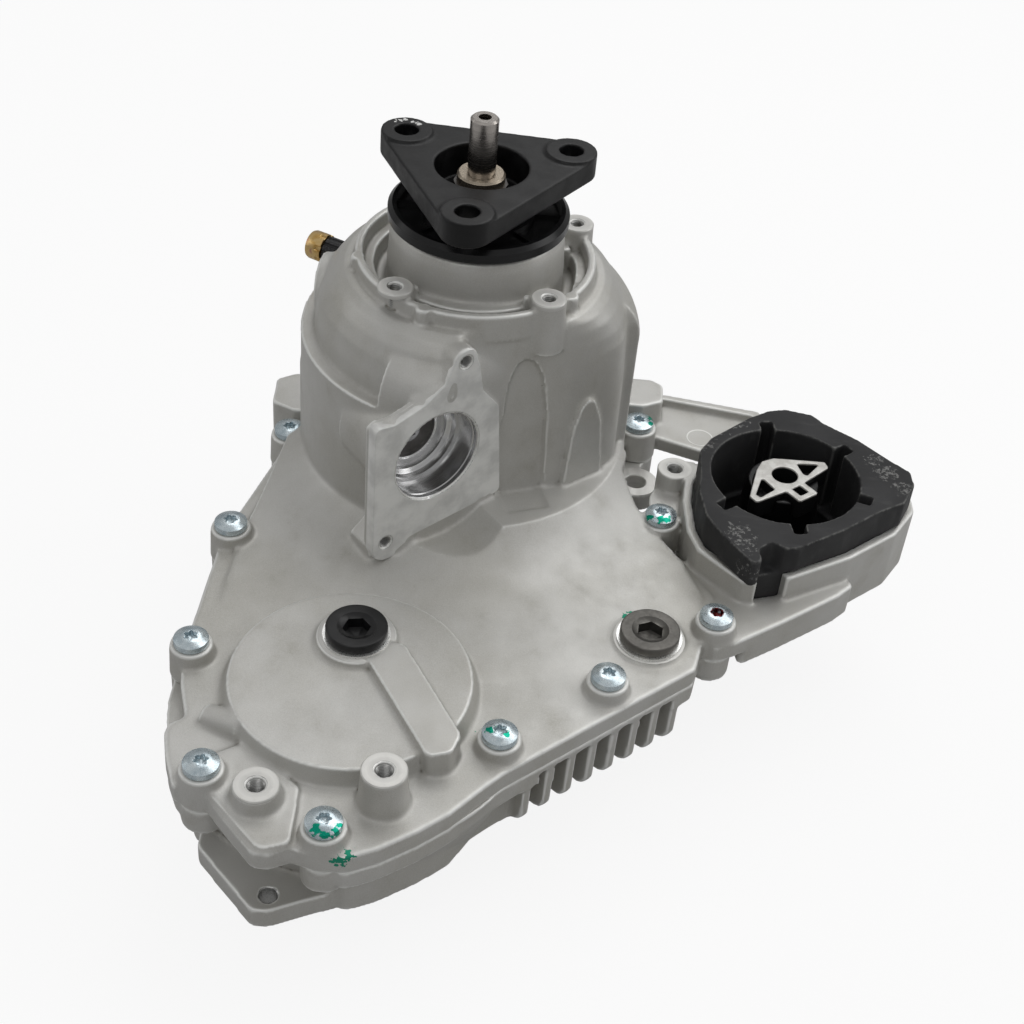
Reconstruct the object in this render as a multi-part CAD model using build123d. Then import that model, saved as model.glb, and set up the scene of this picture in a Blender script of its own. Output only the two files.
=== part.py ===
from build123d import *
import os
from math import acos, cos, degrees, hypot, pi, radians, sin, tan

# Single-speed chain-drive transfer case, millimetres.
# Origin on the main shaft's axis in the gearbox mating face, +Z towards the rear output.

# General values
RUN = 0.05              # radial running clearance
SEAT = 0.02             # radial clearance of a seated piece
GAP = 0.3               # clearance between pieces that pass each other

# Levels along the main axis
PARTING_Z = 78.0        # plane between the two housings
FLANGE_T = 11.0         # thickness of each housing's bolted flange
BOSS_H = 15.5           # bolt boss above the parting plane
FLOOR_Z = 40.0          # outside of the front housing's floor
FLANGE_TOP = PARTING_Z + FLANGE_T
BOSS_TOP = PARTING_Z + BOSS_H

# Front output axis
PITCH = 9.525           # chain pitch
TEETH = 36
LINKS_BETWEEN = 20      # chain pitches between the axes
FRONT_DIR = -101.35     # bearing of the front output from the main axis, degrees
CENTRES = PITCH * LINKS_BETWEEN
FRONT_X = CENTRES * cos(radians(FRONT_DIR))
FRONT_Y = CENTRES * sin(radians(FRONT_DIR))

# Perimeter bolts, all alike
BOLTS = [
    (-95.6, -3.3), (-112.8, -86.0), (-115.5, -172.3), (-95.4, -248.3), (-37.3, -274.4),
    (34.5, -214.0), (83.5, -170.7), (136.7, -121.8), (109.5, -47.3), (97.3, 33.0),
]
REAR_BOLT_R = 99.5     # three more behind the tower
REAR_BOLT_ANGLES = (60.0, 100.0, 142.0)
BOLT_HEAD_R = 8.4
BOLT_HEAD_H = 6.5
BOLT_R = 3.9
BOLT_GRIP = 27.0        # length under the head
BOLT_BOSS_R = 10.6
BOLT_BOSS_DEPTH = 15.0  # boss on the front housing, below the parting plane

# Dowels across the parting plane
DOWELS = [(-108.0, -118.0), (118.0, -147.0)]
DOWEL_R = 5.0
DOWEL_BORE_R = 3.2
DOWEL_HALF = 6.0        # length in each housing

# Case outline in plan
CASE_R = 93.0           # round part about the main axis
FIN_DIR = -48.65        # outward direction of the finned side, degrees
FIN_FACE = 197.0        # distance of the finned side from the main axis

# Tower over the clutch
TOWER_R = 88.5
TOWER_FOOT_Z = 108.0
SERVO_DIR = -49.0       # direction of the servo motor's axis, degrees
TOWER_FLAT = 56.0       # distance of the flat wall from the main axis
SHOULDER_Z = 172.0
RECESS_D = 2.0          # arched recess in the flat wall
PAD_T = 2.2             # raised pad beside it
CLUTCH_ROOM_R = 70.0
CLUTCH_ROOM_TOP = 105.5
RING_ROOM_R = 52.0
RING_ROOM_TOP = 199.0

# Neck
RING_WALL_R = 54.8
RING_WALL_TOP = 214.2
RING_WALL_FOOT = 206.0
LEDGE_R = 50.7
LEDGE_Z = 218.0
NECK_R = 44.0
NECK_TOP = 240.5
NECK_BOSS_R = 8.7
NECK_BOSS_PCR = 58.4
NECK_BOSS_TOP = 225.4
NECK_BOSS_ANGLES = (-128.0, -48.5, 31.0, 110.0)
NECK_HOLE_R = 3.4

# Breather on the tower's shoulder
BREATHER_DIR = 154.0
BREATHER_Z = 193.0
BREATHER_START = 89.5   # distance of the stem's foot from the main axis
BREATHER_R = 7.2
BREATHER_STEM_R = 4.5
BREATHER_L = 10.0       # serrated length, and the cap's

# Servo port
SERVO_T = -61.5         # sideways distance of the motor axis
SERVO_Z = 153.0
SERVO_FACE = 57.5
SERVO_PLATE_T = 8.5
SERVO_BORE_R = 24.7
SERVO_STEP_R = 14.5
SERVO_BORE_DEPTH = 22.0
SERVO_HOLE_R = 3.4
SERVO_HOLES = [(-47.2, 204.2), (-91.3, 110.5)]

# Bulge over the front output
BULGE_R = 57.5
BULGE_TOP = 99.0

# Plugs
FILL_XY = (-37.9, -162.9)
FILL_SEAT_Z = 103.0
DRAIN_XY = (103.9, -133.8)
DRAIN_SEAT_Z = 91.0
PLUG_R = 14.95
PLUG_HEAD_H = 5.0
PLUG_THREAD_R = 9.0
PLUG_THREAD_L = 10.0
PLUG_KEY = 12.0         # hexagon socket, across flats
SEAL_RING_R = 16.4
SEAL_RING_T = 1.2

# Two threaded bosses and the lug with a plain hole
CONE_BOSS_XY = (-69.3, -258.4)
CONE_BOSS_TOP = 100.5
TALL_BOSS_XY = (-14.2, -251.5)
TALL_BOSS_TOP = 110.0
THREAD_HOLE_R = 4.2
LUG_TOP = 50.0
LUG_T = 12.0
LUG_HOLE_XY = (-61.6, -278.3)
LUG_HOLE_R = 4.25
EAR_XY = (98.1, 5.7)
EAR_R = 13.0
EAR_HOLE_R = 5.9

# Rubber mount on its bracket
MOUNT_XY = (173.4, -30.0)
BRACKET_BOTTOM = 66.0
RING_TOP = 103.0
RING_T = 5.0
RUBBER_TOP = 120.0
RUBBER_BOTTOM = 69.0
MOUNT_BORE_R = 39.6
MOUNT_FLOOR_T = 9.0
SLOT_ANGLES = (100.0, 39.0, -19.0, -84.0, -139.0)
SLOT_W = 7.0
SLOT_D = 7.5
CORE_XY = (174.0, -24.5)
CORE_TOP = 116.0
CORE_T = 12.0
CORE_SLEEVE_R = 11.0
CORE_HOLE_R = 7.0
PILLAR_R = 19.0
ARM_TOP = 87.0
WEB_BOSS_XY = (116.9, -11.0)
WEB_BOSS_R = 9.5

# Main shaft and what sits on it
SHAFT_SEAT_R = 17.5
REAR_BEARING_Z = 213.0
REAR_BEARING_W = 17.0
REAR_BEARING_R = 36.0
FRONT_BEARING_Z = 14.0
FRONT_BEARING_W = 16.0
INPUT_R = 22.5
FRONT_BEARING_R = 37.5
INPUT_BORE_R = 15.0
INPUT_BORE_L = 42.0
SPLINES = 10
JOURNAL_R = 20.0
HUB_SEAT_R = 19.0
SHAFT_R = 16.5
STUB_R = 14.0
SEAL_W = 8.0
OUT_HUB_R = 24.0
OUT_FACE_Z = 269.6
OUT_ARM_T = 11.5
OUT_PCR = 48.0
OUT_HOLE_R = 6.0
OUT_PAD_R = 13.0
OUT_ANGLES = (146.0, 26.0, -94.0)
OUT_OPEN_R = 23.2
OUT_OPEN_D = 17.0
NUT_R = 13.5
COLLAR_R = 12.0
COLLAR_TOP = 266.0
PIN_R = 7.0
PIN_TOP = 295.4
PIN_SEAT_R = 6.5        # seated end, up to just above the collar
PIN_FOOT_Z = 267.0
PIN_SEAT_Z = 240.0
SHIELD_R = 45.4
SHIELD_BOTTOM = 241.5
SHIELD_TOP = 248.1

# Clutch
DRUM_R = 66.0
DRUM_T = 3.5
DRUM_Z = 76.0
DRUM_TOP = 104.8
HUB_R = 43.0
PLATE_COUNT = 6
PLATE_T = 1.5
PLATE_STEP = 3.6        # one friction plate, one steel plate and two gaps
PACK_Z = 80.0
LUG_COUNT = 12
PRESS_T = 3.0
PRESS_WEB_T = 1.5
DRUM_BORE_R = DRUM_R - DRUM_T
DRIVE_LUG = 2.0         # depth of the drum's and plates' lugs
PACK_TOP = PACK_Z + PLATE_STEP * PLATE_COUNT
PRESS_Z = PACK_TOP + GAP
SPRING_LOW = PACK_TOP - 4.1

# Actuator above the clutch
THRUST_T = 3.0
RAMP_T = 5.0
BALL_R = 3.5
CONTROL_T = 13.0       # toothed rim of the control ring
WORM_R = 13.0
WORM_PITCH_R = 12.0
WHEEL_TEETH = 60
TOOTH_H = 2.6
RAMP_Z = PRESS_Z + PRESS_T + THRUST_T
CONTROL_Z = RAMP_Z + RAMP_T + 4.0
RAMP_BALL_Z = CONTROL_Z - 2.0
BALL_TRACK_R = 40.0
RIM_Z = SERVO_Z - CONTROL_T / 2
WHEEL_R = -SERVO_T - WORM_PITCH_R
WORM_CORE_R = WORM_PITCH_R - TOOTH_H / 2 - 0.6
WORM_TURNS = 8

# Chain and sprockets
CHAIN_W = 20.0
CHAIN_Z = 53.0
LINK_TOP = 3.6
TOE_D = 4.6
SPROCKET_R = PITCH / (2 * sin(pi / TEETH))
CASE_ROOM_R = 64.0     # about the front output axis
ROOM_FLOOR = 46.0

# Front output
FRONT_SEAT_R = 15.0
LOWER_BEARING_Z = 22.0
LOWER_BEARING_W = 16.0
LOWER_BEARING_R = 34.0
UPPER_BEARING_Z = 79.0
UPPER_BEARING_W = 11.0
UPPER_BEARING_R = 21.0
UPPER_BEARING_BORE = 11.0
FRONT_BOSS_Z = 16.0
FRONT_BOSS_R = 61.5
FRONT_HUB_R = 22.0
FRONT_FLANGE_R = 48.0
FRONT_FLANGE_T = 8.0
FRONT_PCR = 38.0
FRONT_HOLE_R = 5.2
FRONT_HOLES = 4
DUST_RING_R = 57.0

# Ball bearings: pitch radius and ball radius
REAR_MID = (SHAFT_SEAT_R + REAR_BEARING_R) / 2
REAR_BALL = 5.0
FRONT_MID = (INPUT_R + FRONT_BEARING_R) / 2
FRONT_BALL = 4.2
LOWER_MID = (FRONT_SEAT_R + 1 + LOWER_BEARING_R) / 2
LOWER_BALL = 4.6
UPPER_MID = (UPPER_BEARING_BORE + UPPER_BEARING_R) / 2
UPPER_BALL = 2.8
BALL_COUNT = 9

# Gearbox side
BELL_R = 98.0
BELL_T = 12.0
BELL_PCR = 88.0
BELL_HOLES = 8
BELL_HOLE_R = 5.5

# Frames of reference
SERVO_N = (cos(radians(SERVO_DIR)), sin(radians(SERVO_DIR)))
SERVO_PLANE = Plane(
    origin=(0, 0, 0), x_dir=(-SERVO_N[1], SERVO_N[0], 0), z_dir=(SERVO_N[0], SERVO_N[1], 0)
)
FIN_N = (cos(radians(FIN_DIR)), sin(radians(FIN_DIR)))
FIN_U = (-FIN_N[1], FIN_N[0])
FRONT_AXIS = (FRONT_X, FRONT_Y)
REAR_BOLTS = [
    (REAR_BOLT_R * cos(radians(a)), REAR_BOLT_R * sin(radians(a))) for a in REAR_BOLT_ANGLES
]
ALL_BOLTS = BOLTS + REAR_BOLTS


# Small tools

def outline(points, radius=0.0):
    """Closed face; each corner is an arc no larger than its shorter side allows."""
    count = len(points)
    edges = []
    last_end = None
    first_start = None
    for i, corner in enumerate(points):
        before = points[i - 1]
        after = points[(i + 1) % count]
        back = (before[0] - corner[0], before[1] - corner[1])
        ahead = (after[0] - corner[0], after[1] - corner[1])
        len_back = hypot(*back)
        len_ahead = hypot(*ahead)
        unit_back = (back[0] / len_back, back[1] / len_back)
        unit_ahead = (ahead[0] / len_ahead, ahead[1] / len_ahead)
        dot = unit_back[0] * unit_ahead[0] + unit_back[1] * unit_ahead[1]
        half = acos(max(-1.0, min(1.0, dot))) / 2
        cut = min(radius / tan(half), 0.45 * min(len_back, len_ahead)) if half > 0.02 else 0.0
        if cut < 0.05 or half > pi / 2 - 0.02:
            start = end = corner
            arc = None
        else:
            start = (corner[0] + unit_back[0] * cut, corner[1] + unit_back[1] * cut)
            end = (corner[0] + unit_ahead[0] * cut, corner[1] + unit_ahead[1] * cut)
            reach = cut / cos(half) - cut * tan(half)
            mid = (unit_back[0] + unit_ahead[0], unit_back[1] + unit_ahead[1])
            size = hypot(*mid)
            middle = (corner[0] + mid[0] / size * reach, corner[1] + mid[1] / size * reach)
            arc = ThreePointArc(start, middle, end)
        if last_end is None:
            first_start = start
        else:
            edges.append(Line(last_end, start))
        if arc is not None:
            edges.append(arc)
        last_end = end
    edges.append(Line(last_end, first_start))
    return make_face(edges)


def prism(face, low, high):
    """Vertical solid over a face drawn in plan."""
    return Pos(0, 0, low) * extrude(face, amount=high - low, dir=(0, 0, 1))


def disc(xy, radius, low, high):
    """Upright cylinder."""
    standing = Cylinder(radius, high - low, align=(Align.CENTER, Align.CENTER, Align.MIN))
    return Pos(xy[0], xy[1], low) * standing


def taper(xy, low_radius, low, high_radius, high):
    """Upright cone between two levels."""
    standing = Cone(
        low_radius, high_radius, high - low, align=(Align.CENTER, Align.CENTER, Align.MIN)
    )
    return Pos(xy[0], xy[1], low) * standing


def ring(xy, outer, inner, low, high):
    """Upright tube."""
    return disc(xy, outer, low, high) - disc(xy, inner, low - 1, high + 1)


def turned(points, xy=(0, 0)):
    """Solid of revolution from radius and height pairs."""
    face = Plane.XZ * make_face(Polyline(*points, close=True))
    return Pos(xy[0], xy[1], 0) * revolve(face, axis=Axis.Z)


def along_servo(face, low, high):
    """Solid drawn sideways and upwards, running along the motor's axis."""
    return extrude(SERVO_PLANE.offset(low) * face, amount=high - low, dir=(*SERVO_N, 0))


def servo_round(sideways, height, radius, low, high):
    """Cylinder along the motor's axis."""
    return along_servo(Pos(sideways, height) * Circle(radius), low, high)


def hull_of(first, second, first_r, second_r):
    """Belt shape round two circles of nearly equal radius."""
    dx = second[0] - first[0]
    dy = second[1] - first[1]
    length = hypot(dx, dy)
    side = (-dy / length, dx / length)
    band = outline([
        (first[0] + side[0] * first_r, first[1] + side[1] * first_r),
        (second[0] + side[0] * second_r, second[1] + side[1] * second_r),
        (second[0] - side[0] * second_r, second[1] - side[1] * second_r),
        (first[0] - side[0] * first_r, first[1] - side[1] * first_r),
    ])
    return band + Pos(*first) * Circle(first_r) + Pos(*second) * Circle(second_r)


def polar(radius, angle, centre=(0, 0)):
    """Point at a distance and bearing from a centre."""
    return (centre[0] + radius * cos(radians(angle)), centre[1] + radius * sin(radians(angle)))


def fin_point(out, along):
    """Point given by distance from the main axis and position along the finned side."""
    return (FIN_N[0] * out + FIN_U[0] * along, FIN_N[1] * out + FIN_U[1] * along)


# Case outlines in plan

def left_edge(inset):
    """Left side and lower left, from the tower to the lower bolt."""
    return [
        (-60, 20), (-97 + inset, 0), (-118 + inset, -86), (-120.5 + inset, -172),
        (-117 + inset, -192), (-110.5 + inset, -213),
    ]


def lower_edge(inset):
    """Edge round the front output from the lower bolt to the finned side."""
    return [
        (-27, -285 + inset), (-13, -278 + inset), (3, -266.5 + inset), (16, -255 + inset),
        (30 - inset / 2, -238 + inset),
    ]


def right_edge(inset):
    """Finned side, then up past the mount to the tower."""
    return [
        fin_point(FIN_FACE - inset, -122), fin_point(FIN_FACE - inset, -4),
        (138 - inset, -97), (124 - inset, -77), (110.5 - inset, -58), (103 - inset, -42),
        (87 - inset / 2, -8), (60, 20),
    ]


REAR_LUG = [
    (-117.5, -216.5), (-118.0, -223.0), (-114.5, -237.0), (-107.3, -255.5), (-100.0, -252.5),
    (-92.6, -257.5), (-82.4, -269.5), (-66.8, -286.5), (-60.0, -287.0), (-50.7, -282.0),
    (-42.0, -284.5),
]
FRONT_LUG = [
    (-117.0, -216.5), (-117.5, -223.0), (-114.0, -237.0), (-107.0, -252.0), (-91.4, -252.0),
    (-69.9, -264.3), (-49.6, -269.8), (-44.0, -279.0),
]


def rear_outline():
    """Rear housing in plan at its flange."""
    front = outline(left_edge(0) + REAR_LUG + lower_edge(0) + right_edge(0), 6)
    face = front + Circle(CASE_R)
    for xy in ALL_BOLTS:
        face += Pos(*xy) * Circle(BOLT_BOSS_R)
    return face


def front_outline(inset):
    """Front housing in plan."""
    lug = [(x + inset * 0.7, y + inset * 0.7) for x, y in FRONT_LUG]
    front = outline(left_edge(inset) + lug + lower_edge(inset) + right_edge(inset), 6)
    return front + Circle(CASE_R - inset)


def room_outline():
    """Space for the chain and the oil in plan."""
    sump = outline([
        (0, 50), (60, 15), (88, -40), (113, -98), (118, -121), (106, -140), (80, -152),
        (33, -193), (-20, -200), (-20, 0),
    ], 8)
    return hull_of((0, 0), FRONT_AXIS, CLUTCH_ROOM_R, CASE_ROOM_R) + sump


# Rear housing

def tower():
    """Clutch tower: round shoulder, flat wall towards the servo side."""
    top = RING_WALL_TOP
    round_part = revolve(Plane.XZ * make_face([
        Polyline((0, top), (0, PARTING_Z), (TOWER_R, PARTING_Z), (TOWER_R, SHOULDER_Z)),
        ThreePointArc((TOWER_R, SHOULDER_Z), (83.5, 193.0), (68.0, 205.5)),
        Polyline((68.0, 205.5), (RING_WALL_R, RING_WALL_FOOT + 3.5), (RING_WALL_R, top), (0, top)),
    ]), axis=Axis.Z)
    side = make_face([
        Polyline((-120, PARTING_Z - 1), (TOWER_FLAT, PARTING_Z - 1), (TOWER_FLAT, 186)),
        ThreePointArc((TOWER_FLAT, 186), (51.0, 202.0), (40.0, 213.0)),
        Polyline((40.0, 213.0), (34, top + 1), (-120, top + 1), (-120, PARTING_Z - 1)),
    ])
    across = Plane(
        origin=(0, 0, 0), x_dir=SERVO_PLANE.z_dir, z_dir=SERVO_PLANE.x_dir * -1
    )
    flat = extrude(across * side, amount=120, both=True)
    return round_part & flat


def foot():
    """Concave skirt that runs from the tower down to the flange."""
    skirt = revolve(Plane.XZ * make_face([
        Polyline((0, TOWER_FOOT_Z + 2), (0, PARTING_Z), (176, PARTING_Z), (176, FLANGE_TOP)),
        Spline((176, FLANGE_TOP), (140, 91.3), (108, 97.5), (86, TOWER_FOOT_Z + 2)),
        Line((86, TOWER_FOOT_Z + 2), (0, TOWER_FOOT_Z + 2)),
    ]), axis=Axis.Z)
    within = outline([
        (-70, 30), (-93, 0), (-108, -86), (-110, -150), (-70, -185), (-20, -210), (28, -208),
        (62, -186), (100, -155), (128, -128), (132, -98), (122, -74), (96, -40), (82, -8),
        (60, 30),
    ], 10)
    return skirt & prism(within + Circle(CASE_R - 3), PARTING_Z, TOWER_FOOT_Z + 3)


def servo_block():
    """Gear housing beside the tower, motor flange and its two threaded lugs."""
    lobe = along_servo(
        outline([(-77, 80), (-30, 80), (-30, 184), (-52, 180), (-68, 170), (-77, 156)], 9),
        -46, SERVO_FACE - SERVO_PLATE_T + 1,
    )
    lobe &= prism(Circle(TOWER_R + 5), 80, 190) + along_servo(
        Pos(-60, 140) * Rectangle(60, 140), 0, SERVO_FACE
    )
    barrel = servo_round(SERVO_T, SERVO_Z, SERVO_BORE_R + 4, 12, SERVO_FACE - 1)
    plate = along_servo(
        outline([
            (-43, 211.5), (-38.4, 199.2), (-35.3, 183.1), (-24.4, 169.6), (-19.5, 112.6),
            (-72.9, 107.5), (-79, 100.9), (-92, 100.9), (-99.1, 108), (-99.1, 184.3),
            (-87.6, 182.7), (-70.4, 187.7), (-59.1, 195.1), (-52, 210.5),
        ], 4),
        SERVO_FACE - SERVO_PLATE_T, SERVO_FACE,
    )
    lug = servo_round(*SERVO_HOLES[0], 7.5, 36, SERVO_FACE)
    lug += along_servo(outline([(-56, 150), (-38, 150), (-38, 206), (-54, 206)], 3), 36, 54)
    gusset = along_servo(outline([(-97, 84), (-70, 84), (-70, 128), (-97, 104)]), 34, 52)
    return lobe + barrel + plate + lug + gusset


def tower_pads():
    """Recess and raised pad on the flat wall."""
    low = TOWER_FOOT_Z + 4
    recess = along_servo(
        outline([(-23, low), (6, low), (1, 180), (-6, 193), (-14, 193), (-20, 180)], 6),
        TOWER_FLAT - RECESS_D, TOWER_FLAT + 8,
    )
    raised = along_servo(
        outline([(17, low - 6), (47, low - 6), (42, 143), (37, 154), (30, 154), (25, 147)], 5),
        TOWER_FLAT - 6, TOWER_FLAT + PAD_T,
    )
    return recess, raised


def neck():
    """Ring wall, neck of the rear bearing and the threaded bosses, one after the other."""
    pieces = [disc((0, 0), LEDGE_R, RING_WALL_FOOT - 6, LEDGE_Z)]
    pieces.append(turned([
        (0, LEDGE_Z - 4), (NECK_R + 1, LEDGE_Z - 4), (NECK_R, NECK_TOP - 6),
        (NECK_R - 1.5, NECK_TOP - 2), (NECK_R - 5, NECK_TOP), (0, NECK_TOP),
    ]))
    low = RING_WALL_FOOT - 9
    for angle in NECK_BOSS_ANGLES:
        xy = polar(NECK_BOSS_PCR, angle)
        web = Rot(0, 0, angle) * Pos(NECK_BOSS_PCR - 9, 0) * Rectangle(16, 20)
        pieces.append(taper(xy, NECK_BOSS_R + 1, low, NECK_BOSS_R, NECK_BOSS_TOP))
        pieces.append(prism(web, low, RING_WALL_TOP))
    return pieces


def neck_cuts():
    """Crescent pockets between neck and ring wall, and the bosses' threaded holes."""
    cuts = []
    for start, sweep in ((122, 96), (-32, 50), (60, 38)):
        sector = outline([
            (0, 0), polar(70, start), polar(78, start + sweep / 2), polar(70, start + sweep),
        ], 2)
        band = Circle(RING_WALL_R - 3.5) - Circle(NECK_R + 1)
        cuts.append(prism(band & sector, RING_WALL_TOP - 9, RING_WALL_TOP + 12))
    for angle in NECK_BOSS_ANGLES:
        xy = polar(NECK_BOSS_PCR, angle)
        cuts.append(disc(xy, NECK_HOLE_R, NECK_BOSS_TOP - 20, NECK_BOSS_TOP + 1))
    return cuts


def breather_boss():
    """Half-round boss on the shoulder that carries the breather."""
    direction = Plane(
        origin=(0, 0, 192), x_dir=(sin(radians(165)), -cos(radians(165)), 0),
        z_dir=(cos(radians(165)), sin(radians(165)), 0),
    )
    body = extrude(direction.offset(30) * Circle(19), amount=52)
    body += extrude(direction.offset(80) * Circle(23), amount=6)
    return body & disc((0, 0), TOWER_R + 3, 100, 230)


def bulge():
    """Cover of the front output bearing with the oil channel and the fill boss."""
    fx, fy = FRONT_AXIS
    body = taper(FRONT_AXIS, BULGE_R + 6, PARTING_Z, BULGE_R, BULGE_TOP)
    body += taper(FILL_XY, 23, PARTING_Z, 19.2, FILL_SEAT_Z)
    channel = outline([
        (-36, -170), (-15, -165), (17.5, -220.7), (14, -232), (3, -236), (-1, -229),
    ], 5)
    body += prism(channel, PARTING_Z, 103.5)
    notch = outline([(-130, -215), (-94.5, -221.2), (-81.8, -228.7), (-75.8, -237), (-70, -300),
                     (-130, -300)], 4)
    return body - prism(notch, FLANGE_TOP, BULGE_TOP + 10)


def lower_bosses():
    """Threaded bosses beside the bulge, with the raised pad under the conical one."""
    pad = outline([(-95, -236), (-80, -226), (-51.5, -249.6), (-50.8, -281), (-62, -285.5),
                   (-66, -284), (-101, -247)], 4)
    body = prism(pad, PARTING_Z, FLANGE_TOP + 2.2)
    body += taper(CONE_BOSS_XY, 12.2, FLANGE_TOP - 1, 10.4, CONE_BOSS_TOP)
    body += taper(TALL_BOSS_XY, 12.6, PARTING_Z, 10.4, TALL_BOSS_TOP)
    return body


RING_OUTLINE = [
    (127.4, -7.5), (122.0, -20.5), (120.5, -37.9), (122.5, -62.4), (127.5, -77.0),
    (140.6, -90.0), (150.0, -98.8), (157.9, -98.8), (174.6, -93.0), (207.2, -72.8),
    (233.8, -49.5), (246.0, -29.0), (245.5, -14.0), (234.5, -4.0), (218.0, 12.5),
    (200.0, 25.0), (192.0, 33.0), (176.0, 34.5), (163.0, 30.5), (150.0, 20.0),
]
RUBBER_OUTLINE = [
    (128.0, -32.4), (126.5, -49.6), (130.0, -69.5), (137.5, -83.5), (148.5, -98.5),
    (153.0, -104.0), (157.5, -100.5), (156.0, -92.0), (163.0, -85.5), (170.0, -90.0),
    (176.9, -88.5), (201.3, -70.9), (221.2, -53.5), (235.4, -44.0), (242.6, -27.9),
    (241.8, -16.8), (231.5, -7.9), (215.1, 8.3), (198.0, 20.1), (192.0, 27.1),
    (176.8, 30.1), (167.2, 27.0), (156.8, 19.5), (134.0, -3.4), (128.0, -15.0),
]


def ring_inside():
    """Inner outline of the bracket's ring wall."""
    return offset(outline(RING_OUTLINE, 6), amount=-RING_T)


def bracket():
    """Mount bracket: ring wall, ledge, arm to the tower side and web with a threaded boss."""
    body = prism(outline(RING_OUTLINE, 6), BRACKET_BOTTOM, RING_TOP)
    ledge = outline([
        (112, -58), (131, -78), (150, -90), (175, -80), (206, -68), (212, -76), (203, -86),
        (171.4, -111), (148, -128.5), (138, -134), (118, -125), (116, -90),
    ], 4)
    body += prism(ledge, PARTING_Z, FLANGE_TOP - 1)
    below = outline([
        (144, -94), (150, -90), (175, -80), (206, -68), (212, -76), (203, -86), (171.4, -111),
        (151, -126), (149.5, -112), (146, -100),
    ], 3)
    body += prism(below, BRACKET_BOTTOM + 3, FLANGE_TOP - 1)
    arm = outline([
        (84, 40), (108, 37), (137, 27), (160, 22), (190, 28), (180, 48), (167, 62.4),
        (114, 71), (70, 60),
    ], 3)
    body += prism(arm, PARTING_Z, ARM_TOP)
    back_rib = outline([(90, 66), (114, 67.5), (164, 59.5), (186, 30), (191, 33), (168, 64.5),
                        (114, 72.5), (88, 71)], 1)
    body += prism(back_rib, PARTING_Z, ARM_TOP + 5)
    web = outline([(104, -46), (124, -52), (132, -10), (124, -2), (112, -2), (104, -24)], 3)
    body += prism(web, PARTING_Z, FLANGE_TOP + 3)
    body += disc(WEB_BOSS_XY, WEB_BOSS_R, PARTING_Z, RING_TOP)
    body += prism(outline([(116, -19), (128, -19), (128, -3), (116, -3)], 1), PARTING_Z, RING_TOP)
    return body


def cast_blocks():
    """Raised lifting blocks behind the first and the last bolt."""
    right = outline([(70, 44), (100, 44), (111, 50), (111, 66), (104, 71), (70, 70)], 4)
    left = outline([(-70, 12), (-96, 12), (-109, 18), (-110, 40), (-100, 47), (-70, 44)], 4)
    return prism(right, PARTING_Z, 103) + prism(left, PARTING_Z, 101)


def rear_housing():
    """Upper casting with every cut that its inner pieces need."""
    body = prism(rear_outline(), PARTING_Z, FLANGE_TOP)
    body += foot()
    body += bulge()
    body += [taper(xy, BOLT_BOSS_R + 0.6, PARTING_Z, BOLT_BOSS_R, BOSS_TOP) for xy in ALL_BOLTS]
    body += taper(DRAIN_XY, 19.5, PARTING_Z, 18.0, DRAIN_SEAT_Z)
    body += lower_bosses()
    body += cast_blocks()
    body += bracket()
    body -= prism(ring_inside(), BRACKET_BOTTOM - 1, RING_TOP + 1)
    body -= disc((165.0, -95.0), 8.0, FLANGE_TOP - 1, RING_TOP + 1)
    body += tower()
    body += servo_block()
    recess, raised = tower_pads()
    body -= recess
    body += raised
    body += breather_boss()
    for piece in neck():
        body += piece
    for cut in neck_cuts() + [motor_clearance()] + rear_cavities() + rear_holes():
        body -= cut
    return body


def motor_clearance():
    """Shallow trough in the cover below the motor's body."""
    return servo_round(SERVO_T, SERVO_Z, 51.5, SERVO_FACE, SERVO_FACE + 60) - along_servo(
        Pos(0, SERVO_Z) * Rectangle(400, 30), SERVO_FACE, SERVO_FACE + 60
    ) - along_servo(Pos(0, 250) * Rectangle(400, 194), SERVO_FACE, SERVO_FACE + 60)


def rear_cavities():
    """Rooms for the clutch, the actuator, the chain's edge and the bearings."""
    cuts = [
        prism(room_outline(), PARTING_Z - 1, PARTING_Z + 6),
        disc((0, 0), CLUTCH_ROOM_R, PARTING_Z - 1, CLUTCH_ROOM_TOP),
        disc((0, 0), RING_ROOM_R, PARTING_Z, RING_ROOM_TOP),
        disc((0, 0), REAR_BEARING_R - 3, RING_ROOM_TOP - 1, NECK_TOP + 1),
        disc((0, 0), REAR_BEARING_R + SEAT, REAR_BEARING_Z, NECK_TOP + 1),
        ring(FRONT_AXIS, 50, UPPER_BEARING_R + 6, PARTING_Z - 1, 92),
        disc(FRONT_AXIS, UPPER_BEARING_R + SEAT, PARTING_Z - 1, 92),
        servo_round(SERVO_T, SERVO_Z, WORM_R + 1.5, -40, SERVO_FACE - SERVO_BORE_DEPTH),
        servo_round(SERVO_T, SERVO_Z, SERVO_STEP_R, 24, SERVO_FACE),
        servo_round(SERVO_T, SERVO_Z, SERVO_BORE_R, SERVO_FACE - SERVO_BORE_DEPTH, SERVO_FACE + 2),
        servo_round(SERVO_T, SERVO_Z, 7.5 + SEAT, -50, -39),
    ]
    return cuts


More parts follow.
